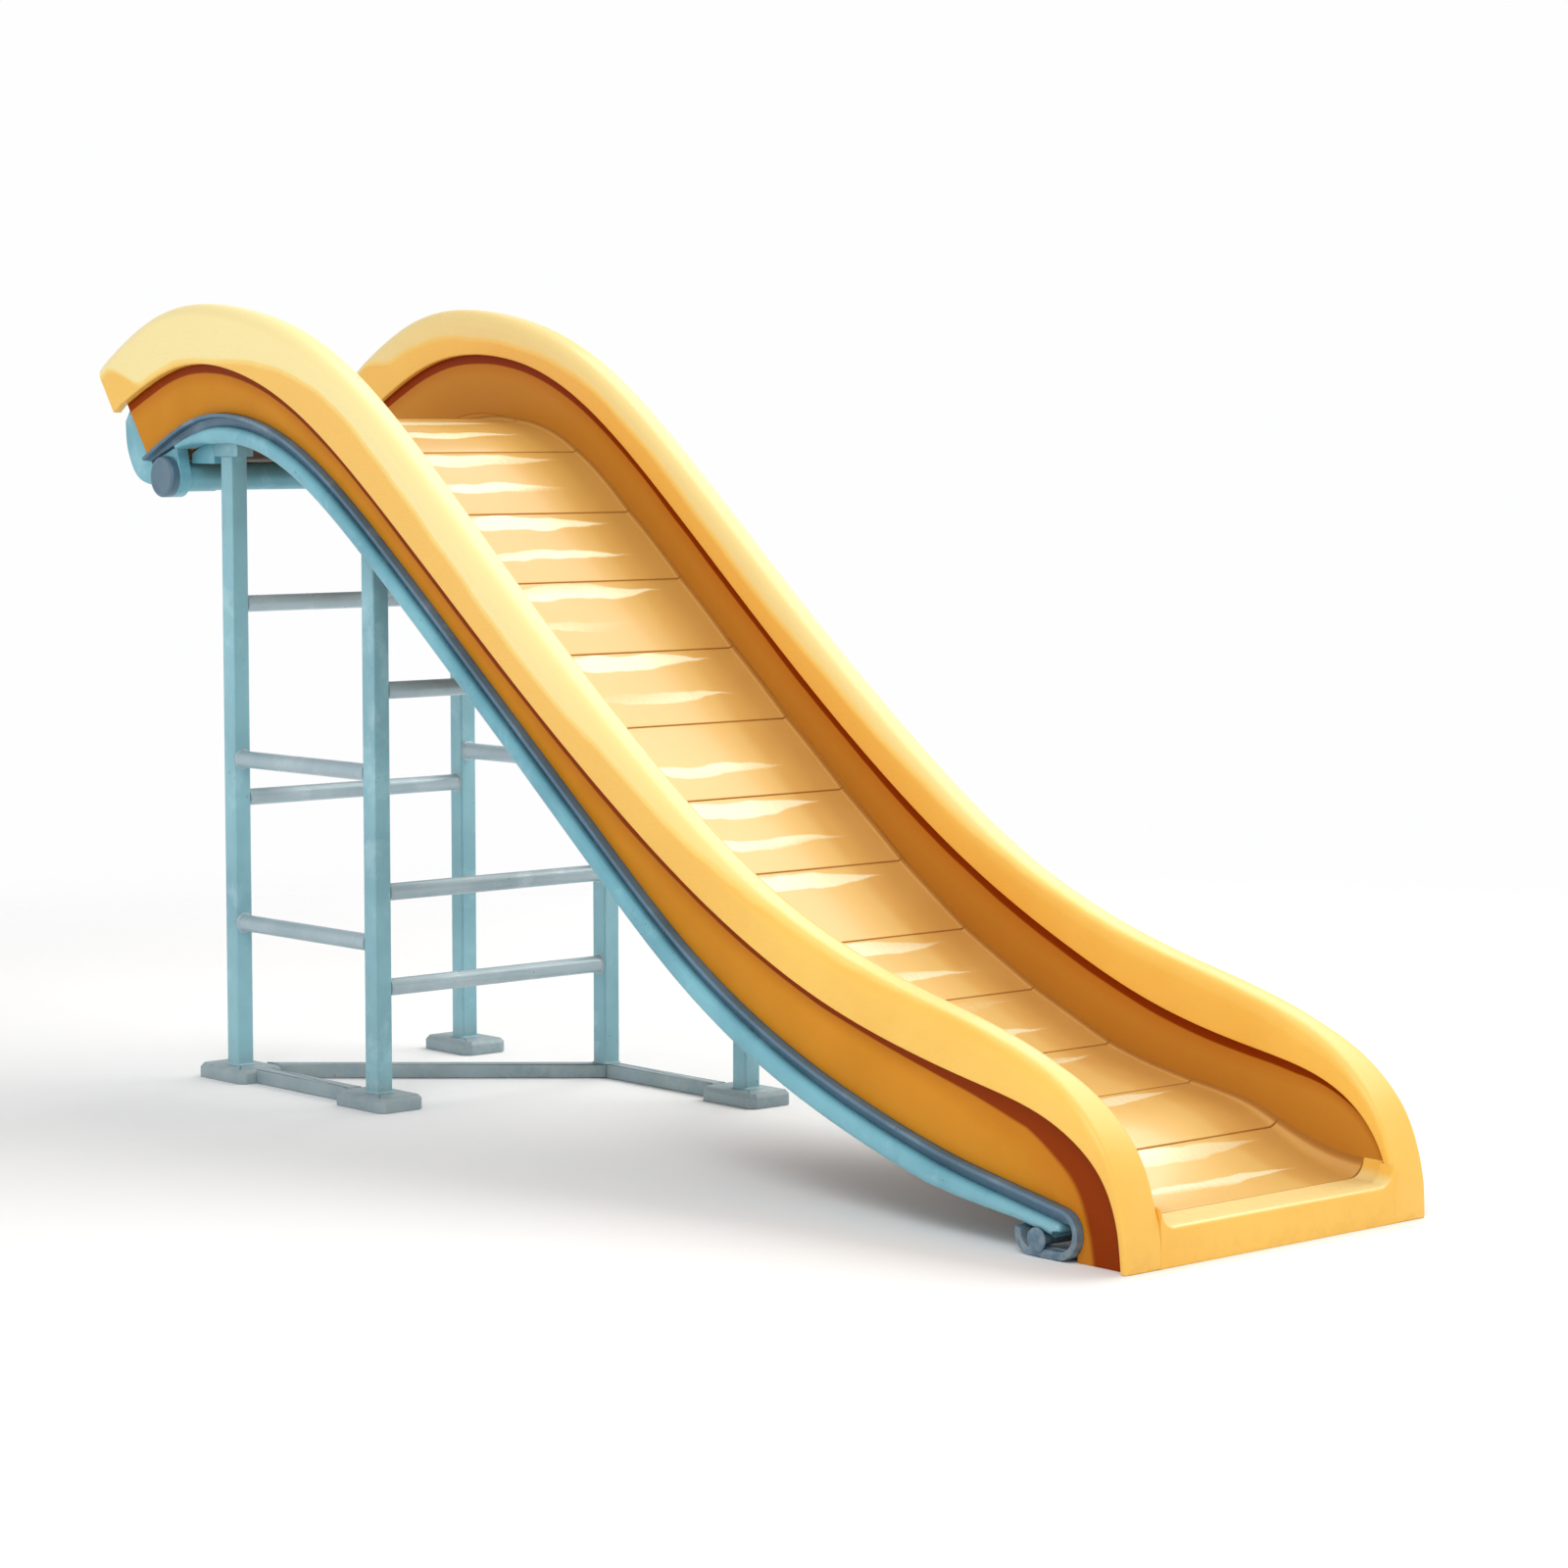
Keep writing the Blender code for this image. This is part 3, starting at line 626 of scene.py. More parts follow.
def bed_plastic():
    """Running surface: painted highlights as pale spindles beside each seam, a worn middle lane,
    painted shade on the upper part, along the edges and underneath, fine scratches downhill.
    """
    s = Shader("bed_plastic", 0.32, specular=0.4, coat=0.15)
    cloud = s.noise(3.0, 4.0, 0.55)
    body = s.mix(s.fade(cloud, 0.3, 0.7), srgb(222, 170, 90), srgb(232, 184, 104))
    middle = s.maths("ABSOLUTE", s.plus(s.part(s.run(), "Y"), -0.5 * WIDTH * MM))
    # Paler down the middle lane: partly wear of the riding track, partly painted shade along both
    # edges by the walls.
    lane_wear_edge_shade = s.fade(middle, 0.215, 0.170)
    body = s.mix(s.times(lane_wear_edge_shade, 0.6), body, srgb(238, 203, 124))
    # Painted shade: the bed mixed darker higher up, so that its upper part under the key light
    # doesn't read paler than the lower part.
    upslope_shade = s.fade(s.part(s.spot(), "Z"), 0.5, 1.4, 0.0, 0.8)
    body = s.mix(upslope_shade, body, srgb(212, 166, 86))
    panel = s.times(s.part(s.run(), "X"), BED_PANELS / (chord(BED)[-1] * MM))
    share = s.maths("FRACT", panel)
    wander = s.noise(6.0, 2.0, 0.5, s.stretched(s.run(), (1.0, 1.0, 0.0)))
    share = s.plus(share, s.fade(wander, 0.3, 0.7, -0.03, 0.03))
    # Painted highlight: pale spindles on each panel, near its seams, stand in for glints off the
    # crowned panels; they also lower the roughness a little.
    pick = s.noise(2.3, 1.0, 0.5, s.stretched(s.run(), (1.7, 0.25, 0.0)))
    spindle = s.fade(middle, 0.30, 0.05)
    painted_glint = None
    for centre, half, low, high in ((0.15, 0.12, 0.36, 0.48), (0.62, 0.08, 0.56, 0.46)):
        away = s.maths("ABSOLUTE", s.plus(share, -centre))
        inside = s.plus(s.times(spindle, half), s.times(away, -1.0))
        band = s.times(s.fade(inside, 0.0, 0.03), s.fade(pick, low, high))
        painted_glint = band if painted_glint is None else s.maths("MAXIMUM", painted_glint, band)
    body = s.mix(s.times(painted_glint, 0.85), body, srgb(253, 244, 204))
    lines = s.noise(30.0, 4.0, 0.65, s.stretched(s.run(), (0.5, 16.0, 1.0)), 0.15)
    body = s.mix(s.fade(lines, 0.62, 0.78, 0.0, 0.12), body, srgb(253, 233, 180))
    # Dark lines: grime in the seams between panels, and painted shade in the crease where the bed
    # meets each wall; both also dull the surface.
    joint_grime_and_shade = s.fade(s.part(s.run(), "Z"), 0.004, 0.0012)
    joint_grime_and_shade = s.maths("MAXIMUM", joint_grime_and_shade, s.fade(middle, 0.3300, 0.3355))
    body = s.mix(s.times(joint_grime_and_shade, 0.7), body, srgb(150, 84, 26))
    # Painted shade: faces turned down are mixed to a dark brown.
    body = s.mix(s.facing_up(-0.2, -0.5), body, srgb(120, 84, 44))
    s.colour(body)
    gloss = s.plus(s.fade(lines, 0.4, 0.72, 0.28, 0.38), s.times(painted_glint, -0.05))
    s.roughness(s.plus(gloss, s.times(joint_grime_and_shade, 0.3)))
    s.link(s.fade(joint_grime_and_shade, 0.0, 0.6, 0.4, 0.02), s.bsdf.inputs["Specular IOR Level"])
    s.link(s.fade(joint_grime_and_shade, 0.0, 0.6, 0.15, 0.0), s.bsdf.inputs["Coat Weight"])
    s.bump(s.noise(260.0, 2.0, 0.5), 0.05, 0.0010)
    s.bump(lines, 0.03, 0.0006)
    return s.mat


def painted(name, shade, main, light, roughness=0.38):
    """Powder coat on steel: fine orange peel, rubbed patches, dust near the floor."""
    s = Shader(name, roughness, metallic=0.15, coat=0.1)
    cloud = s.noise(3.5, 4.0, 0.6)
    body = s.mix(s.fade(cloud, 0.3, 0.7), shade, main)
    rub = s.fade(s.noise(11.0, 5.0, 0.62, None, 0.3), 0.52, 0.72)
    body = s.mix(s.times(rub, 0.35), body, light)
    nick = s.fade(s.noise(130.0, 2.0, 0.5), 0.70, 0.74)
    chip = s.times(nick, s.fade(s.noise(9.0, 2.0, 0.5), 0.52, 0.60))
    body = s.mix(s.times(chip, 0.75), body, srgb(84, 78, 72))
    fine = s.noise(55.0, 3.0, 0.6)
    dust = s.times(s.fade(s.part(s.spot(), "Z"), 0.11, 0.0), s.fade(fine, 0.35, 0.62))
    body = s.mix(s.times(dust, 0.4), body, srgb(176, 180, 176))
    s.colour(body)
    s.roughness(s.plus(s.fade(rub, 0.0, 1.0, roughness, roughness - 0.1), s.times(dust, 0.3)))
    s.bump(s.noise(520.0, 1.0, 0.5), 0.16, 0.0006)
    s.bump(chip, -0.25, 0.0006)
    return s.mat


FOOT_GREYS = (srgb(128, 150, 158), srgb(150, 172, 179), srgb(180, 197, 202))


# ---------------------------------------------------------------- trough
def hood(section):
    """Rim profile as (w, distance along the section): bullnose with two lips."""
    lip_out, lip_in, crest = section[3], section[4], section[5]
    top = wall_top(section)
    flat = float(np.interp(section[0], RIM_SQUARES, (0.0, 1.0)))
    room = crest - max(lip_out, lip_in) - 6.0
    r = min(RIM_ROUND * (1 - flat) + FOOT_ROUND * flat, room)
    above_sill = np.interp(along(section, crest)[1], (SILL_TOP, SILL_CLEAR), (0.0, 1.0))
    r_in = r if flat < 1.0 else max(0.4, r * float(above_sill))
    inner, outer = WALL_IN + GAP, WALL_OUT - GAP
    corners = [
        (0.0, lip_out), (0.0, crest), (RIM_WIDTH, crest), (RIM_WIDTH, lip_in),
        (inner, lip_in), (inner, top), (outer, top), (outer, lip_out),
    ]
    radii = (4.0, r, r_in, 4.0, 3.0, 2.0, 2.0, 3.0)
    steps = (4, 12, 12, 4, 3, 1, 1, 3)
    return rounded(corners, radii, steps)


def slid(section, back):
    """The section moved back along its own normal, uphill."""
    moved = np.array(section, float)
    a = math.radians(section[2] - 90.0)
    moved[0] -= back * math.cos(a)
    moved[1] -= back * math.sin(a)
    return moved


def rim(side, material):
    """Fat hood along one side; run is the way along it, w and the drop below its crest."""
    ends = [(slid(SECTIONS[0], RIM_OVERRUN - b), d) for d, b in edge_steps(6.0, 6)]
    middle = [(s, 0.0) for s in SECTIONS[:-1]]
    last = SECTIONS[-1]
    foot = [(slid(last, b), d) for d, b in edge_steps(2.0)[::-1]]
    rings, run = [], []
    length = 0.0
    before = None
    for section, depth in [*ends, *middle, *foot]:
        profile = inset(hood(section), depth) if depth else hood(section)
        ring, marks = [], []
        crest = along(section, section[5])
        if before is not None:
            length += math.dist(crest, before) * MM
        before = crest
        for w, v in profile:
            x, z = along(section, v)
            ring.append(point(x, mirrored(side, w), z))
            marks.append((length, w * MM, (section[5] - v) * MM))
        rings.append(ring)
        run.append(marks)
    piece(f"rim_{side}", f"side_rim_{side}", material, rings, run)


def wall_foot():
    """Lower edge of a side panel: rail line, round the curl and down to the floor."""
    pts = [(x - GAP * d[1], z + GAP * d[0]) for (x, z), d in zip(RAIL, RAIL_DIRS)]
    for (x, z), d in list(zip(CURL, CURL_DIRS))[:PANEL_FOLLOWS]:
        pts.append((x - GAP * d[1], z + GAP * d[0]))
    pts.append((pts[-1][0], GAP))
    return np.array(pts)


def wall_lines():
    """Per section: the panel's bottom and top points, then how far up its top and lips are."""
    foot = wall_foot()
    at = chord(foot)
    bend = at[int(np.argmin(np.abs(foot[:, 0] - LAST_STRAIGHT[0])))]
    crest = chord([along(s, s[5]) for s in SECTIONS if not on_rail(s)])
    ways = iter(bend + crest / crest[-1] * (at[-1] - bend))
    lines = []
    for section in SECTIONS:
        if on_rail(section):
            low = (section[0], rail_height(section[0]) + GAP)
        else:
            way = next(ways)
            low = (np.interp(way, at, foot[:, 0]), np.interp(way, at, foot[:, 1]))
        high = along(section, wall_top(section) - GAP)
        lines.append((low, high, wall_top(section), section[3], section[4]))
    return lines


def wall(side, material):
    """Side panel; run holds its place, w and the drop below the lip in shadow widths."""
    back, hang = WALL_FLAP
    least = WALL_EDGE[-1][0] + 0.1
    rings, run = [], []
    for section, (low, high, top, lip_out, lip_in) in zip(SECTIONS, wall_lines()):
        low, high = np.array(low), np.array(high)
        length = float(np.linalg.norm(high - low))
        faces = []
        for w, lip, inward, shadow in (
            (WALL_OUT, lip_out, 1, OUTER_SHADOW), (WALL_IN, lip_in, -1, INNER_SHADOW)
        ):
            lip_level = length - (top - lip)
            width = float(np.interp(section[0], *zip(*shadow)))
            shaded = [lip_level - d * width for d in SHADOW_LEVELS[::-1]]
            levels = list(WALL_EDGE)
            levels += [(min(max(level, least), length - least), 0.0) for level in shaded]
            levels += [(length - level, inset_by) for level, inset_by in WALL_EDGE[::-1]]
            column = []
            for level, inset_by in levels:
                x, z = low + (high - low) * level / length
                column.append((w + inward * inset_by, x, z, (lip_level - level) / width))
            faces.append(column)
        share = max(0.005, float(np.interp(section[0], FLAP_FADE, (1.0, 0.0))))
        x, z = low - (high - low) * hang * share / length
        ring = faces[0] + faces[1][::-1]
        ring += [(WALL_IN - 0.2, x, z, UNSHADED), (back, x, z, UNSHADED), (back, *low, UNSHADED)]
        rings.append([point(x, mirrored(side, w), z) for w, x, z, _ in ring])
        run.append([(section[0] * MM, w * MM, drop) for w, _, _, drop in ring])
    piece(f"wall_{side}", f"side_wall_{side}", material, rings, run)


def cove_radius(x):
    return float(np.interp(x, COVE_GROWS, (COVE, SILL_COVE)))


def tray(edge, cove):
    """Top of the bed as (y, height): cove, flat, cove."""
    left = [(edge, cove)]
    for i in range(1, COVE_STEPS + 1):
        a = math.pi + math.pi / 2 * i / COVE_STEPS
        left.append((edge + COVE_EDGE + cove * (1 + math.cos(a)), cove * (1 + math.sin(a))))
    right = [(WIDTH - y, v) for y, v in left[::-1]]
    flat = np.linspace(left[-1][0], right[0][0], TRAY_SPANS + 1)[1:-1]
    return left + [(y, 0.0) for y in flat] + right


def bed_panel(k, material):
    knots = chord(BED)
    xs, zs = [p[0] for p in BED], [p[1] for p in BED]
    pitch = knots[-1] / BED_PANELS
    start, end = k * pitch + GAP / 2, (k + 1) * pitch - GAP / 2
    ease = PANEL_EASE
    bend = ease * (1 - np.cos(np.linspace(0, math.pi / 2, 5)))
    near, far = start + bend, end - bend[::-1]
    middle = np.linspace(start + ease, end - ease, BED_RINGS)[1:-1]
    rings, run = [], []
    for at in (*near, *middle, *far):
        three = (at - 0.5, at, at + 0.5)
        behind, (x, z), ahead = zip(cubic(knots, xs, three), cubic(knots, zs, three))
        dx, dz = np.subtract(ahead, behind) / math.dist(ahead, behind)
        edge_distance = min(at - start, end - at)
        share = (at - start) / (end - start)
        swell = BED_CROWN * (4 * share * (1 - share) - 1.0)
        drop = 0.0
        if edge_distance < ease:
            drop = ease - math.sqrt(ease**2 - (ease - edge_distance) ** 2)
        top = tray(WALL_IN + GAP, cove_radius(x))
        ring, marks = [], []
        for y, v in top:
            level = v + swell - drop
            ring.append(point(x - dz * level, y, z + dx * level))
            marks.append((at * MM, y * MM, max(edge_distance, 0.0) * MM))
        for y in (top[-1][0], top[0][0]):
            ring.append(point(x + dz * BED_THICK, y, z - dx * BED_THICK))
            marks.append((at * MM, y * MM, 0.05))
        rings.append(ring)
        run.append(marks)
    label = f"panel_{k + 1:02d}"
    piece(f"running_{label}", f"bed_{label}", material, rings, run)


def sill(material):
    """Exit sill: fills between the side panels, then between the rims, to a round nose."""
    wide, narrow = WALL_IN + GAP, RIM_WIDTH + GAP
    spans = [
        (SILL_BACK, wide, SILL_TOP + 2.0),
        (SILL_STEP, wide, SILL_TOP + 1.0),
        (SILL_STEP + 0.4, narrow, SILL_TOP + 1.0),
        (SILL_FRONT - 14.0, narrow, SILL_TOP + 0.5),
    ]
    for a in np.linspace(0, math.pi / 2, 9):
        x = SILL_FRONT - SILL_ROUND * (1 - math.sin(a))
        spans.append((x, narrow, SILL_TOP - SILL_ROUND * (1 - math.cos(a))))
    rings = []
    for x, edge, top in spans:
        ring = [point(x, y, top + v) for y, v in tray(edge, SILL_COVE)]
        ring += [point(x, WIDTH - edge, 0.0), point(x, edge, 0.0)]
        rings.append(ring)
    piece("exit_front", "exit_sill", material, rings)


# ---------------------------------------------------------------- rails
def web_depth(x):
    """Depth of the flange's web, which dies away towards the top end."""
    return float(np.interp(x, (RAIL[0][0], WEB_FULL), (2.0, WEB_DEPTH)))


def rail_flange(side, material):
    """Flange plate with its web, along the rail and thicker round the curl."""
    dirs = [tuple(d) for d in RAIL_DIRS] + CURL_DIRS
    out, inn, plate = FLANGE
    rings = []
    for i, ((x, z), (dx, dz)) in enumerate(zip(RAIL + CURL, dirs)):
        turn = (i - len(RAIL) + 1) / FRONT_STEPS
        thick = plate + (CURL_THICK - plate) * min(1.0, max(0.0, turn))
        depth = web_depth(x)
        if turn > 0:
            depth = max(1.5, WEB_DEPTH * (1 - 1.2 * turn))
        corners = [
            (out, 0.0), (inn, 0.0), (inn, -thick), (WEB[1], -thick),
            (WEB[1], -thick - depth), (WEB[0], -thick - depth),
            (WEB[0], -thick), (out, -thick),
        ]
        weld = min(4.0, 0.45 * depth)
        radii = (2.5, 2.5, 2.5, weld, 0.6, 0.6, weld, 2.5)
        lay = rounded(corners, radii, (3, 3, 3, 3, 1, 1, 3, 3))
        rings.append([point(x - dz * v, mirrored(side, y), z + dx * v) for y, v in lay])
    piece(f"flange_{side}", f"rail_flange_{side}", material, rings)


def tube_spans():
    """Centre line stations of the rail tube: x, z, direction, top, bottom, fullness."""
    line = [p for p in RAIL if p[0] > TUBE_SWELL[0]]
    dirs = directions(line)
    spans = []
    for (x, z), (dx, dz) in zip(line[:-1], dirs[:-1]):
        grown = float(np.interp(x, TUBE_SWELL, (0.25, 1.0)))
        full = float(np.interp(x, *zip(*TUBE_BOTTOM)))
        low = TUBE_TOP + (full - TUBE_TOP) * grown
        spans.append((x, z, dx, dz, TUBE_TOP, low, 1.0))
    (ex, ez), (dx, dz) = line[-1], dirs[-1]
    cx, cz = ex + CURL_FRONT * dz - TUBE_TUCK[0], ez - CURL_FRONT * dx + TUBE_TUCK[1]
    turn = math.atan2(dx, -dz)
    for i in np.linspace(0, 6, 25):
        a = turn - math.radians(14) * i
        px, pz = cx + CURL_FRONT * math.cos(a), cz + CURL_FRONT * math.sin(a)
        tip = math.sqrt(max(0.0, 1 - (max(0, i - 3) / 3.1) ** 2))
        taper = 15.0 - i * 0.6
        mid, half = TUBE_TOP + taper, taper * (0.35 + 0.65 * tip)
        spans.append((px, pz, math.sin(a), -math.cos(a), mid - half, mid + half, tip))
    return spans


def rail_tube(side, material):
    rings = []
    for x, z, dx, dz, top, low, full in tube_spans():
        shrink = (1 - full) * 9.0
        y0, y1 = RAIL_OUT + shrink, RAIL_IN - shrink
        r = min(13.0, 0.46 * (low - top))
        corners = [(y0, top), (y1, top), (y1, low), (y0, low)]
        lay = rounded(corners, (r,) * 4, (6,) * 4)
        rings.append([point(x + dz * v, mirrored(side, y), z - dx * v) for y, v in lay])
    piece(f"tube_{side}", f"rail_tube_{side}", material, rings)


def hook_outline():
    """Crescent plate behind the wall end, closing round the rear tube."""
    first = SECTIONS[0]
    a = math.radians(first[2])
    back = (-math.sin(a), math.cos(a))
    inner = []
    for v, clear in ((138.0, 0.5), (3.0, 0.5), (-17.0, 3.0)):
        x, z = along(first, v)
        inner.append((x + clear * back[0], z + clear * back[1]))
    outer = list(HOOK_BACK)
    tx, tz, _ = REAR_TUBE
    r = COLLAR[0]
    start, *rest = np.radians((HOOK_MEETS, *np.linspace(HOOK_MEETS + 6, 30, 30)))
    outer.append((tx + r * math.cos(start), tz + r * math.sin(start)))
    knots, at = range(len(outer)), np.linspace(0, len(outer) - 1, 25)
    pts = [inner[0], *zip(*(cubic(knots, values, at) for values in zip(*outer)))]
    pts += [(tx + r * math.cos(b), tz + r * math.sin(b)) for b in rest]
    low, high = HOOK_REACH
    for x in np.linspace(low, high, 12):
        pts.append((x, below_rail(x, FLANGE[2] + web_depth(x) + 2.0)))
    pts.extend(inner[:0:-1])
    return np.array(pts)


def rear_hook(side, material):
    y0, y1 = mirrored(side, HOOK[0]), mirrored(side, HOOK[1])
    rings = across(hook_outline(), y0, y1, 2.5)
    piece(f"hook_{side}", f"rear_hook_{side}", material, rings)


def rear_collar(side, material):
    """Closed end of the rear tube: eased rim round a shallow dish."""
    radius, outer, inner = COLLAR
    profile = [
        (outer + 2.0, 1.0), (outer + 2.0, radius - 14.0), (outer + 1.4, radius - 12.5),
        (outer + 0.3, radius - 11.0), (outer, radius - 9.5), (outer, radius - 7.0),
    ]
    profile += [(outer + b, radius - d) for d, b in edge_steps(6.0, 6)]
    profile += [(inner - b, radius - d) for d, b in edge_steps(1.2)[::-1]]
    rings = turned([(mirrored(side, y), r) for y, r in profile], REAR_TUBE[:2])
    piece(f"collar_{side}", f"rear_collar_{side}", material, rings)


# ---------------------------------------------------------------- bars and welds
def bar(name, node, start, end, centre, radius, material):
    """Round bar across the slide, with eased ends."""
    profile = [(y, radius - depth) for y, depth in eased(start, end, 1.5)]
    piece(name, node, material, turned(profile, centre))


def fillet(distance):
    """Extra radius of a weld fillet at a distance from the joint."""
    if distance >= WELD:
        return 0.0
    return WELD - math.sqrt(WELD**2 - (WELD - distance) ** 2)


def ripple(distance, travel):
    """Small beads laid round a weld, at a travel along its circumference."""
    fade = max(0.0, 1.0 - distance / (WELD * 1.3))
    return WELD_RIPPLE * fade * math.sin(2 * math.pi * travel / WELD_PITCH)


def rung(node, axis, start, end, centre, material):
    """Round rung with a weld bead where it meets each post."""
    stops = [start + d for d in WELD_STOPS]
    stops += [end - d for d in WELD_STOPS[::-1]]
    rings = []
    for s in stops:
        distance = min(s - start, end - s)
        ring = []
        for i in range(RUNG_SIDES):
            a = 2 * math.pi * i / RUNG_SIDES
            r = RUNG_RADIUS + fillet(distance) + ripple(distance, a * RUNG_RADIUS)
            u, v = centre[0] + r * math.cos(a), centre[1] + r * math.sin(a)
            ring.append(point(s, u, v) if axis == "x" else point(u, s, v))
        rings.append(ring)
    piece(f"{node}_bar", node, material, rings)


def post_section():
    """Outline of the square post, closely sampled for the weld at its foot."""
    half = POST / 2
    square = [(-half, -half), (half, -half), (half, half), (-half, half)]
    return resampled(rounded(square, (POST_CORNER,) * 4, (6,) * 4), 1.3)


def tie_rod(material):
    """Rod across the lower end with an eased cap outside each rail."""
    x, z, radius = LOWER_TIE
    cap, outer, inner = TIE_CAP
    half = [(outer + b, cap - d) for d, b in edge_steps(1.4)]
    half += [(inner, cap), (inner, radius)]
    rings = turned(half + [(WIDTH - y, r) for y, r in half[::-1]], (x, z))
    piece("tie_rod_lower", "lower_tie_rod", material, rings)


def wedge(xs, level, side, w0, w1, edge):
    """Rings of a block with a level bottom, and a top that follows the rail."""
    outline = [(xs[0], level), (xs[-1], level)]
    outline += [(x, below_rail(x, POST_DROP)) for x in xs[::-1]]
    return across(np.array(outline), mirrored(side, w0), mirrored(side, w1), edge)


def gusset(side, material):
    """Wedge plate between the rail and the saddle, above the rear tube."""
    start, level = GUSSET
    xs = np.linspace(start, POST_REAR - SADDLE_HALF - GAP, 9)
    rings = wedge(xs, level, side, POST_SIDE - POST / 2, POST_SIDE, 1.2)
    piece(f"gusset_{side}", f"rear_gusset_{side}", material, rings)


def post(node, x, side, foot, tops, material):
    """Square tube with rounded corners, a weld bead at its foot and a cut top."""
    section = post_section()
    travel = chord(section)
    y = mirrored(side, POST_SIDE)
    rings = []
    for distance in WELD_STOPS:
        ring = []
        for (u, v), s in zip(inset(section, -fillet(distance)), travel):
            grow = 1 + ripple(distance, s) / math.hypot(u, v)
            ring.append(point(x + u * grow, y + v * grow, foot + distance))
        rings.append(ring)
    low, high = tops
    slope = (high - low) / POST
    rings.append([point(x + u, y + v, low + slope * (u + POST / 2)) for u, v in section])
    piece(f"{node}_tube", node, material, rings)


def saddle(side, material):
    """Block between the rail and the top of a rear post."""
    xs = np.linspace(POST_REAR - SADDLE_HALF, POST_REAR + SADDLE_HALF, 13)
    w0, w1 = POST_SIDE - POST / 2, POST_SIDE + POST / 2
    rings = wedge(xs, SADDLE_LEVEL + GAP, side, w0, w1, 2.0)
    piece(f"saddle_{side}", f"post_saddle_{side}", material, rings)


def pad(node, x, side, material):
    """Foot pad: rounded corners and a chamfered top edge."""
    lx, ly, lz = PAD[0] / 2, PAD[1] / 2, PAD[2]
    cut, chamfer = PAD_CUT, PAD_CHAMFER
    corners = [
        (lx, -ly + cut), (lx, ly - cut), (lx - cut, ly), (-lx + cut, ly),
        (-lx, ly - cut), (-lx, -ly + cut), (-lx + cut, -ly), (lx - cut, -ly),
    ]
    outline = rounded(corners, (7.0,) * 8, (4,) * 8)
    y = mirrored(side, POST_SIDE)
    levels = [(0.0, 1.5), (0.5, 0.4), (1.5, 0.0), (lz - chamfer - 2.0, 0.0)]
    levels += [(lz - chamfer - 0.6, 0.3), (lz - chamfer + 0.8, 1.2)]
    levels += [(lz - 1.6, chamfer - 1.2), (lz - 0.5, chamfer - 0.2), (lz, chamfer + 1.2)]
    rings = [[point(x + u, y + v, z) for u, v in inset(outline, d)] for z, d in levels]
    piece(f"{node}_block", node, material, rings)


def base_tube(node, corners, material):
    """Rectangular tube on the floor with rounded edges, from its plan outline."""
    outline = rounded(corners, (1.5,) * 4, (2,) * 4)
    levels = eased(0.0, BASE_HEIGHT, 4.0)
    rings = [[point(x, y, z) for x, y in inset(outline, depth)] for z, depth in levels]
    piece(f"{node}_box", node, material, rings)


# ---------------------------------------------------------------- assembly
def build_trough():
    rims, walls = rim_plastic(), wall_plastic()
    for side in ("right", "left"):
        rim(side, rims)
        wall(side, walls)
    bed = bed_plastic()
    for k in range(BED_PANELS):
        bed_panel(k, bed)
    sill(sill_plastic())


def build_rails():
    strip = painted(
        "rail_strip_paint", srgb(72, 102, 122), srgb(92, 124, 146), srgb(140, 168, 184)
    )
    tube = painted(
        "rail_tube_paint", srgb(104, 164, 180), srgb(126, 188, 202), srgb(166, 214, 224)
    )
    dark = painted(
        "collar_paint", srgb(78, 106, 124), srgb(96, 126, 144), srgb(140, 166, 180)
    )
    for side in ("right", "left"):
        rail_flange(side, strip)
        rail_tube(side, tube)
        rear_hook(side, tube)
        rear_collar(side, dark)
        gusset(side, tube)
        ends = sorted((mirrored(side, HOOK[1] + GAP), mirrored(side, REAR_STUB[1])))
        bar(f"stub_{side}", f"rear_stub_{side}", *ends, REAR_TUBE[:2], REAR_STUB[0], tube)
    start = REAR_STUB[1] + GAP
    bar(
        "cross_tube_rear", "rear_cross_tube",
        start, WIDTH - start, REAR_TUBE[:2], REAR_TUBE[2], tube,
    )
    tie_rod(strip)
    x, radius, drop = MID_TIE
    start = RAIL_IN + GAP
    bar(
        "tie_middle", "middle_cross_tie",
        start, WIDTH - start, (x, below_rail(x, drop)), radius, tube,
    )


def build_posts():
    paint = painted(
        "post_paint", srgb(124, 172, 184), srgb(144, 194, 205), srgb(188, 224, 232)
    )
    foot = painted("foot_paint", *FOOT_GREYS, roughness=0.5)
    half = POST / 2
    for name, x, side in (
        ("post_rear", POST_REAR, "right"), ("post_rear", POST_REAR, "left"),
        ("post_front", POST_FRONT, "right"), ("post_front", POST_FRONT, "left"),
        ("post_lower", POST_LOWER, "left"),
    ):
        tops = [below_rail(v, POST_DROP) for v in (x - half, x + half)]
        if name == "post_rear":
            tops = [SADDLE_LEVEL, SADDLE_LEVEL]
        on_pad = (name, side) != ("post_front", "left")
        level = PAD[2] if on_pad else BASE_HEIGHT
        post(f"{name}_{side}", x, side, level + GAP, tops, paint)
        if on_pad:
            pad(f"foot_pad_{name[5:]}_{side}", x, side, foot)
    saddle("right", paint)
    saddle("left", paint)


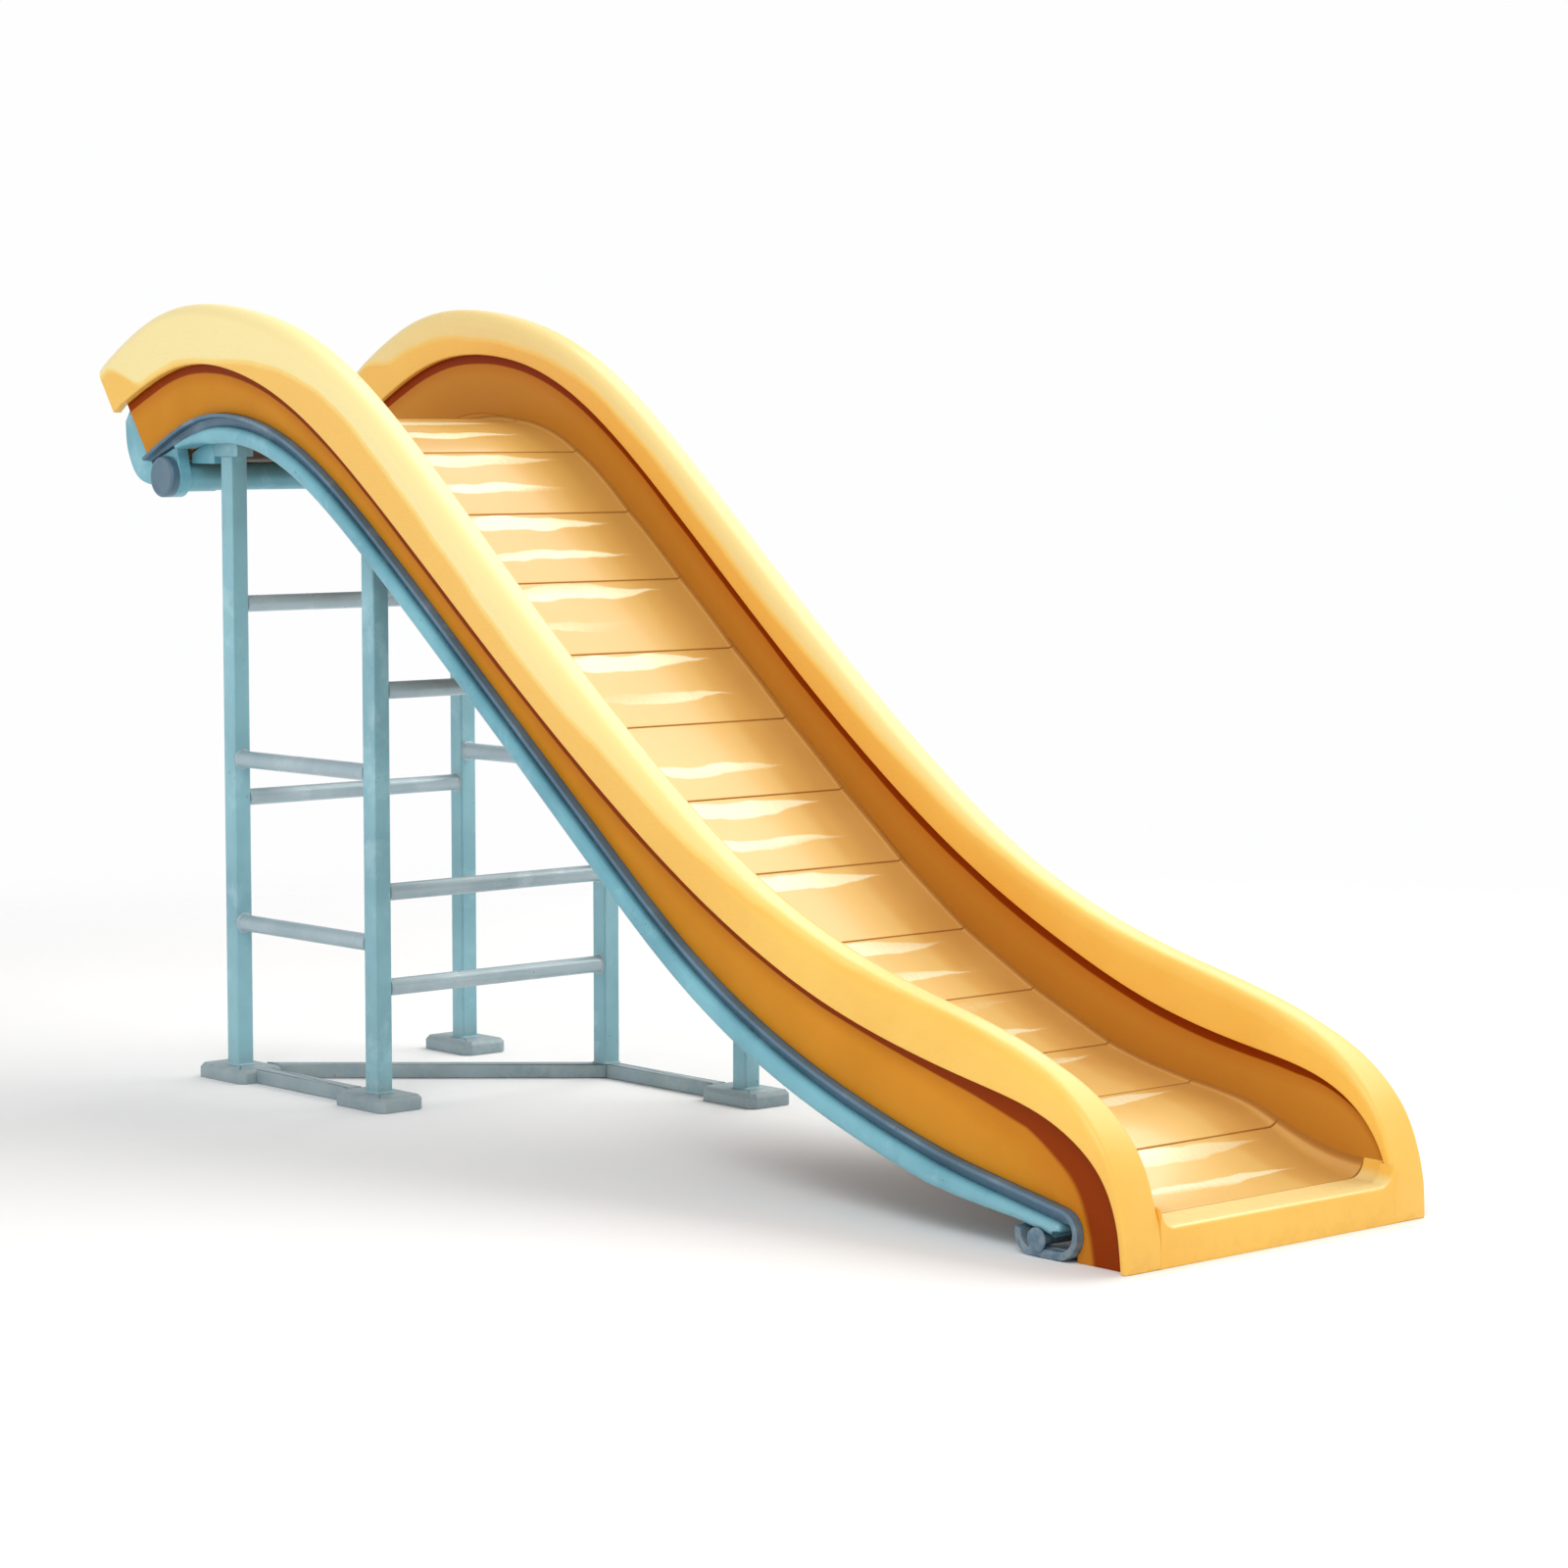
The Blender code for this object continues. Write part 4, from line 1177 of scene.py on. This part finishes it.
def build_rungs():
    paint = painted(
        "rung_paint", srgb(158, 180, 188), srgb(180, 199, 206), srgb(212, 226, 231),
        roughness=0.34,
    )
    inner = POST_SIDE + POST / 2 + GAP
    for node, x, z in (
        ("rear_rung_upper", POST_REAR, 1087.0),
        ("rear_rung_lower", POST_REAR, 645.0),
        ("front_rung_upper", POST_FRONT, 915.0),
        ("front_rung_middle", POST_FRONT, 472.0),
        ("front_rung_lower", POST_FRONT, 262.0),
    ):
        rung(node, "y", inner, WIDTH - inner, (x, z), paint)
    start = POST_REAR + POST / 2 + GAP
    end = POST_FRONT - POST / 2 - GAP
    for node, side, z in (
        ("side_rung_upper_right", "right", 735.0),
        ("side_rung_lower_right", "right", 360.0),
        ("side_rung_left", "left", 720.0),
    ):
        rung(node, "x", start, end, (mirrored(side, POST_SIDE), z), paint)


def build_base():
    paint = painted("base_paint", *FOOT_GREYS, roughness=0.5)
    half = BASE_WIDTH / 2
    reach = PAD[0] / 2 + GAP

    def straight(y, x0, x1):
        return [(x0, y - half), (x1, y - half), (x1, y + half), (x0, y + half)]

    base_tube(
        "base_tube_right",
        straight(POST_SIDE, POST_REAR + reach, POST_FRONT - reach), paint,
    )
    base_tube(
        "base_tube_left",
        straight(WIDTH - POST_SIDE, POST_FRONT - 30.0, POST_LOWER - reach), paint,
    )
    ya = POST_SIDE + PAD[1] / 2 + GAP
    yb = WIDTH - POST_SIDE - half - GAP
    xa, xb = POST_REAR + 40.0, POST_FRONT
    skew = half * math.hypot(xb - xa, yb - ya) / (yb - ya)
    base_tube(
        "base_tube_diagonal",
        [(xa - skew, ya), (xa + skew, ya), (xb + skew, yb), (xb - skew, yb)], paint,
    )


build_trough()
build_rails()
build_posts()
build_rungs()
build_base()


# ---------------------------------------------------------------- studio
WORLD_HORIZON, WORLD_ZENITH = 1.0, 0.52
KEY_WATTS, FILL_WATTS = 310.0, 135.0
CAMERA_SPOT, CAMERA_LENS = (6.6217, -5.6195, 1.5), 94.84
CAMERA_TURN, CAMERA_TILT = 41.6, 5.017  # degrees from straight uphill, and down


def floor_material():
    """Nearly white, melting into the plain background some metres out."""
    s = Shader("pale_floor", 0.8, specular=0.1)
    grain = s.noise(30.0, 3.0, 0.5)
    s.colour(s.mix(grain, srgb(246, 247, 248), srgb(250, 250, 250)))
    far = s.node("VectorMath")
    far.operation = "LENGTH"
    s.link(s.spot(), far.inputs[0])
    s.link(s.fade(far.outputs["Value"], 2.6, 5.5, 1.0, 0.0), s.bsdf.inputs["Alpha"])
    return s.mat


def build_floor():
    """Plain pale floor, round and wide enough to fill every view."""
    bm = bmesh.new()
    bmesh.ops.create_circle(bm, cap_ends=True, segments=96, radius=60.0)
    mesh = bpy.data.meshes.new("floor")
    bm.to_mesh(mesh)
    bm.free()
    floor = bpy.data.objects.new("floor", mesh)
    floor.location.z = -0.0005
    SCENE.collection.objects.link(floor)
    mesh.materials.append(floor_material())


def soft_light(name, place, aim, size, power, tint):
    data = bpy.data.lights.new(name, "AREA")
    data.shape = "RECTANGLE"
    data.size, data.size_y = size
    data.energy = power
    data.color = tint
    light = bpy.data.objects.new(name, data)
    light.location = place
    to = Vector(aim) - Vector(place)
    light.rotation_euler = to.to_track_quat("-Z", "Y").to_euler()
    SCENE.collection.objects.link(light)


def build_world():
    """White round the horizon and below it, dimmer overhead so that tops keep their shading."""
    world = bpy.data.worlds.new("studio")
    world.use_nodes = True
    n = Nodes(world.node_tree)
    height = n.part(n.node("TexCoord").outputs["Generated"], "Z")
    dim = n.fade(height, 0.22, 0.62, WORLD_HORIZON, WORLD_ZENITH)
    back = set_inputs(n.tree.nodes["Background"], {"Color": (0.99, 0.99, 1.0, 1.0)})
    n.link(dim, back.inputs["Strength"])
    SCENE.world = world


def build_lights():
    soft_light("key", (0.2, 3.6, 5.4), (0.2, 0.0, 0.6), (6.5, 5.0), KEY_WATTS, (1.0, 0.97, 0.92))
    soft_light("fill", (3.3, -3.8, 4.9), (0.3, 0.0, 0.7), (3.2, 2.4), FILL_WATTS, (1.0, 0.98, 0.96))
    build_world()
    SCENE.view_settings.view_transform = "Standard"


def build_camera():
    """Low three-quarter view from the exit end, at the height of the running surface."""
    turn, tilt = math.radians(CAMERA_TURN), math.radians(CAMERA_TILT)
    data = bpy.data.cameras.new("camera")
    data.sensor_width = 36.0
    data.lens = CAMERA_LENS
    camera = bpy.data.objects.new("camera", data)
    camera.location = CAMERA_SPOT
    look = Vector((
        -math.cos(turn) * math.cos(tilt), math.sin(turn) * math.cos(tilt), -math.sin(tilt)
    ))
    camera.rotation_euler = look.to_track_quat("-Z", "Y").to_euler()
    SCENE.collection.objects.link(camera)
    SCENE.camera = camera


build_floor()
build_lights()
build_camera()
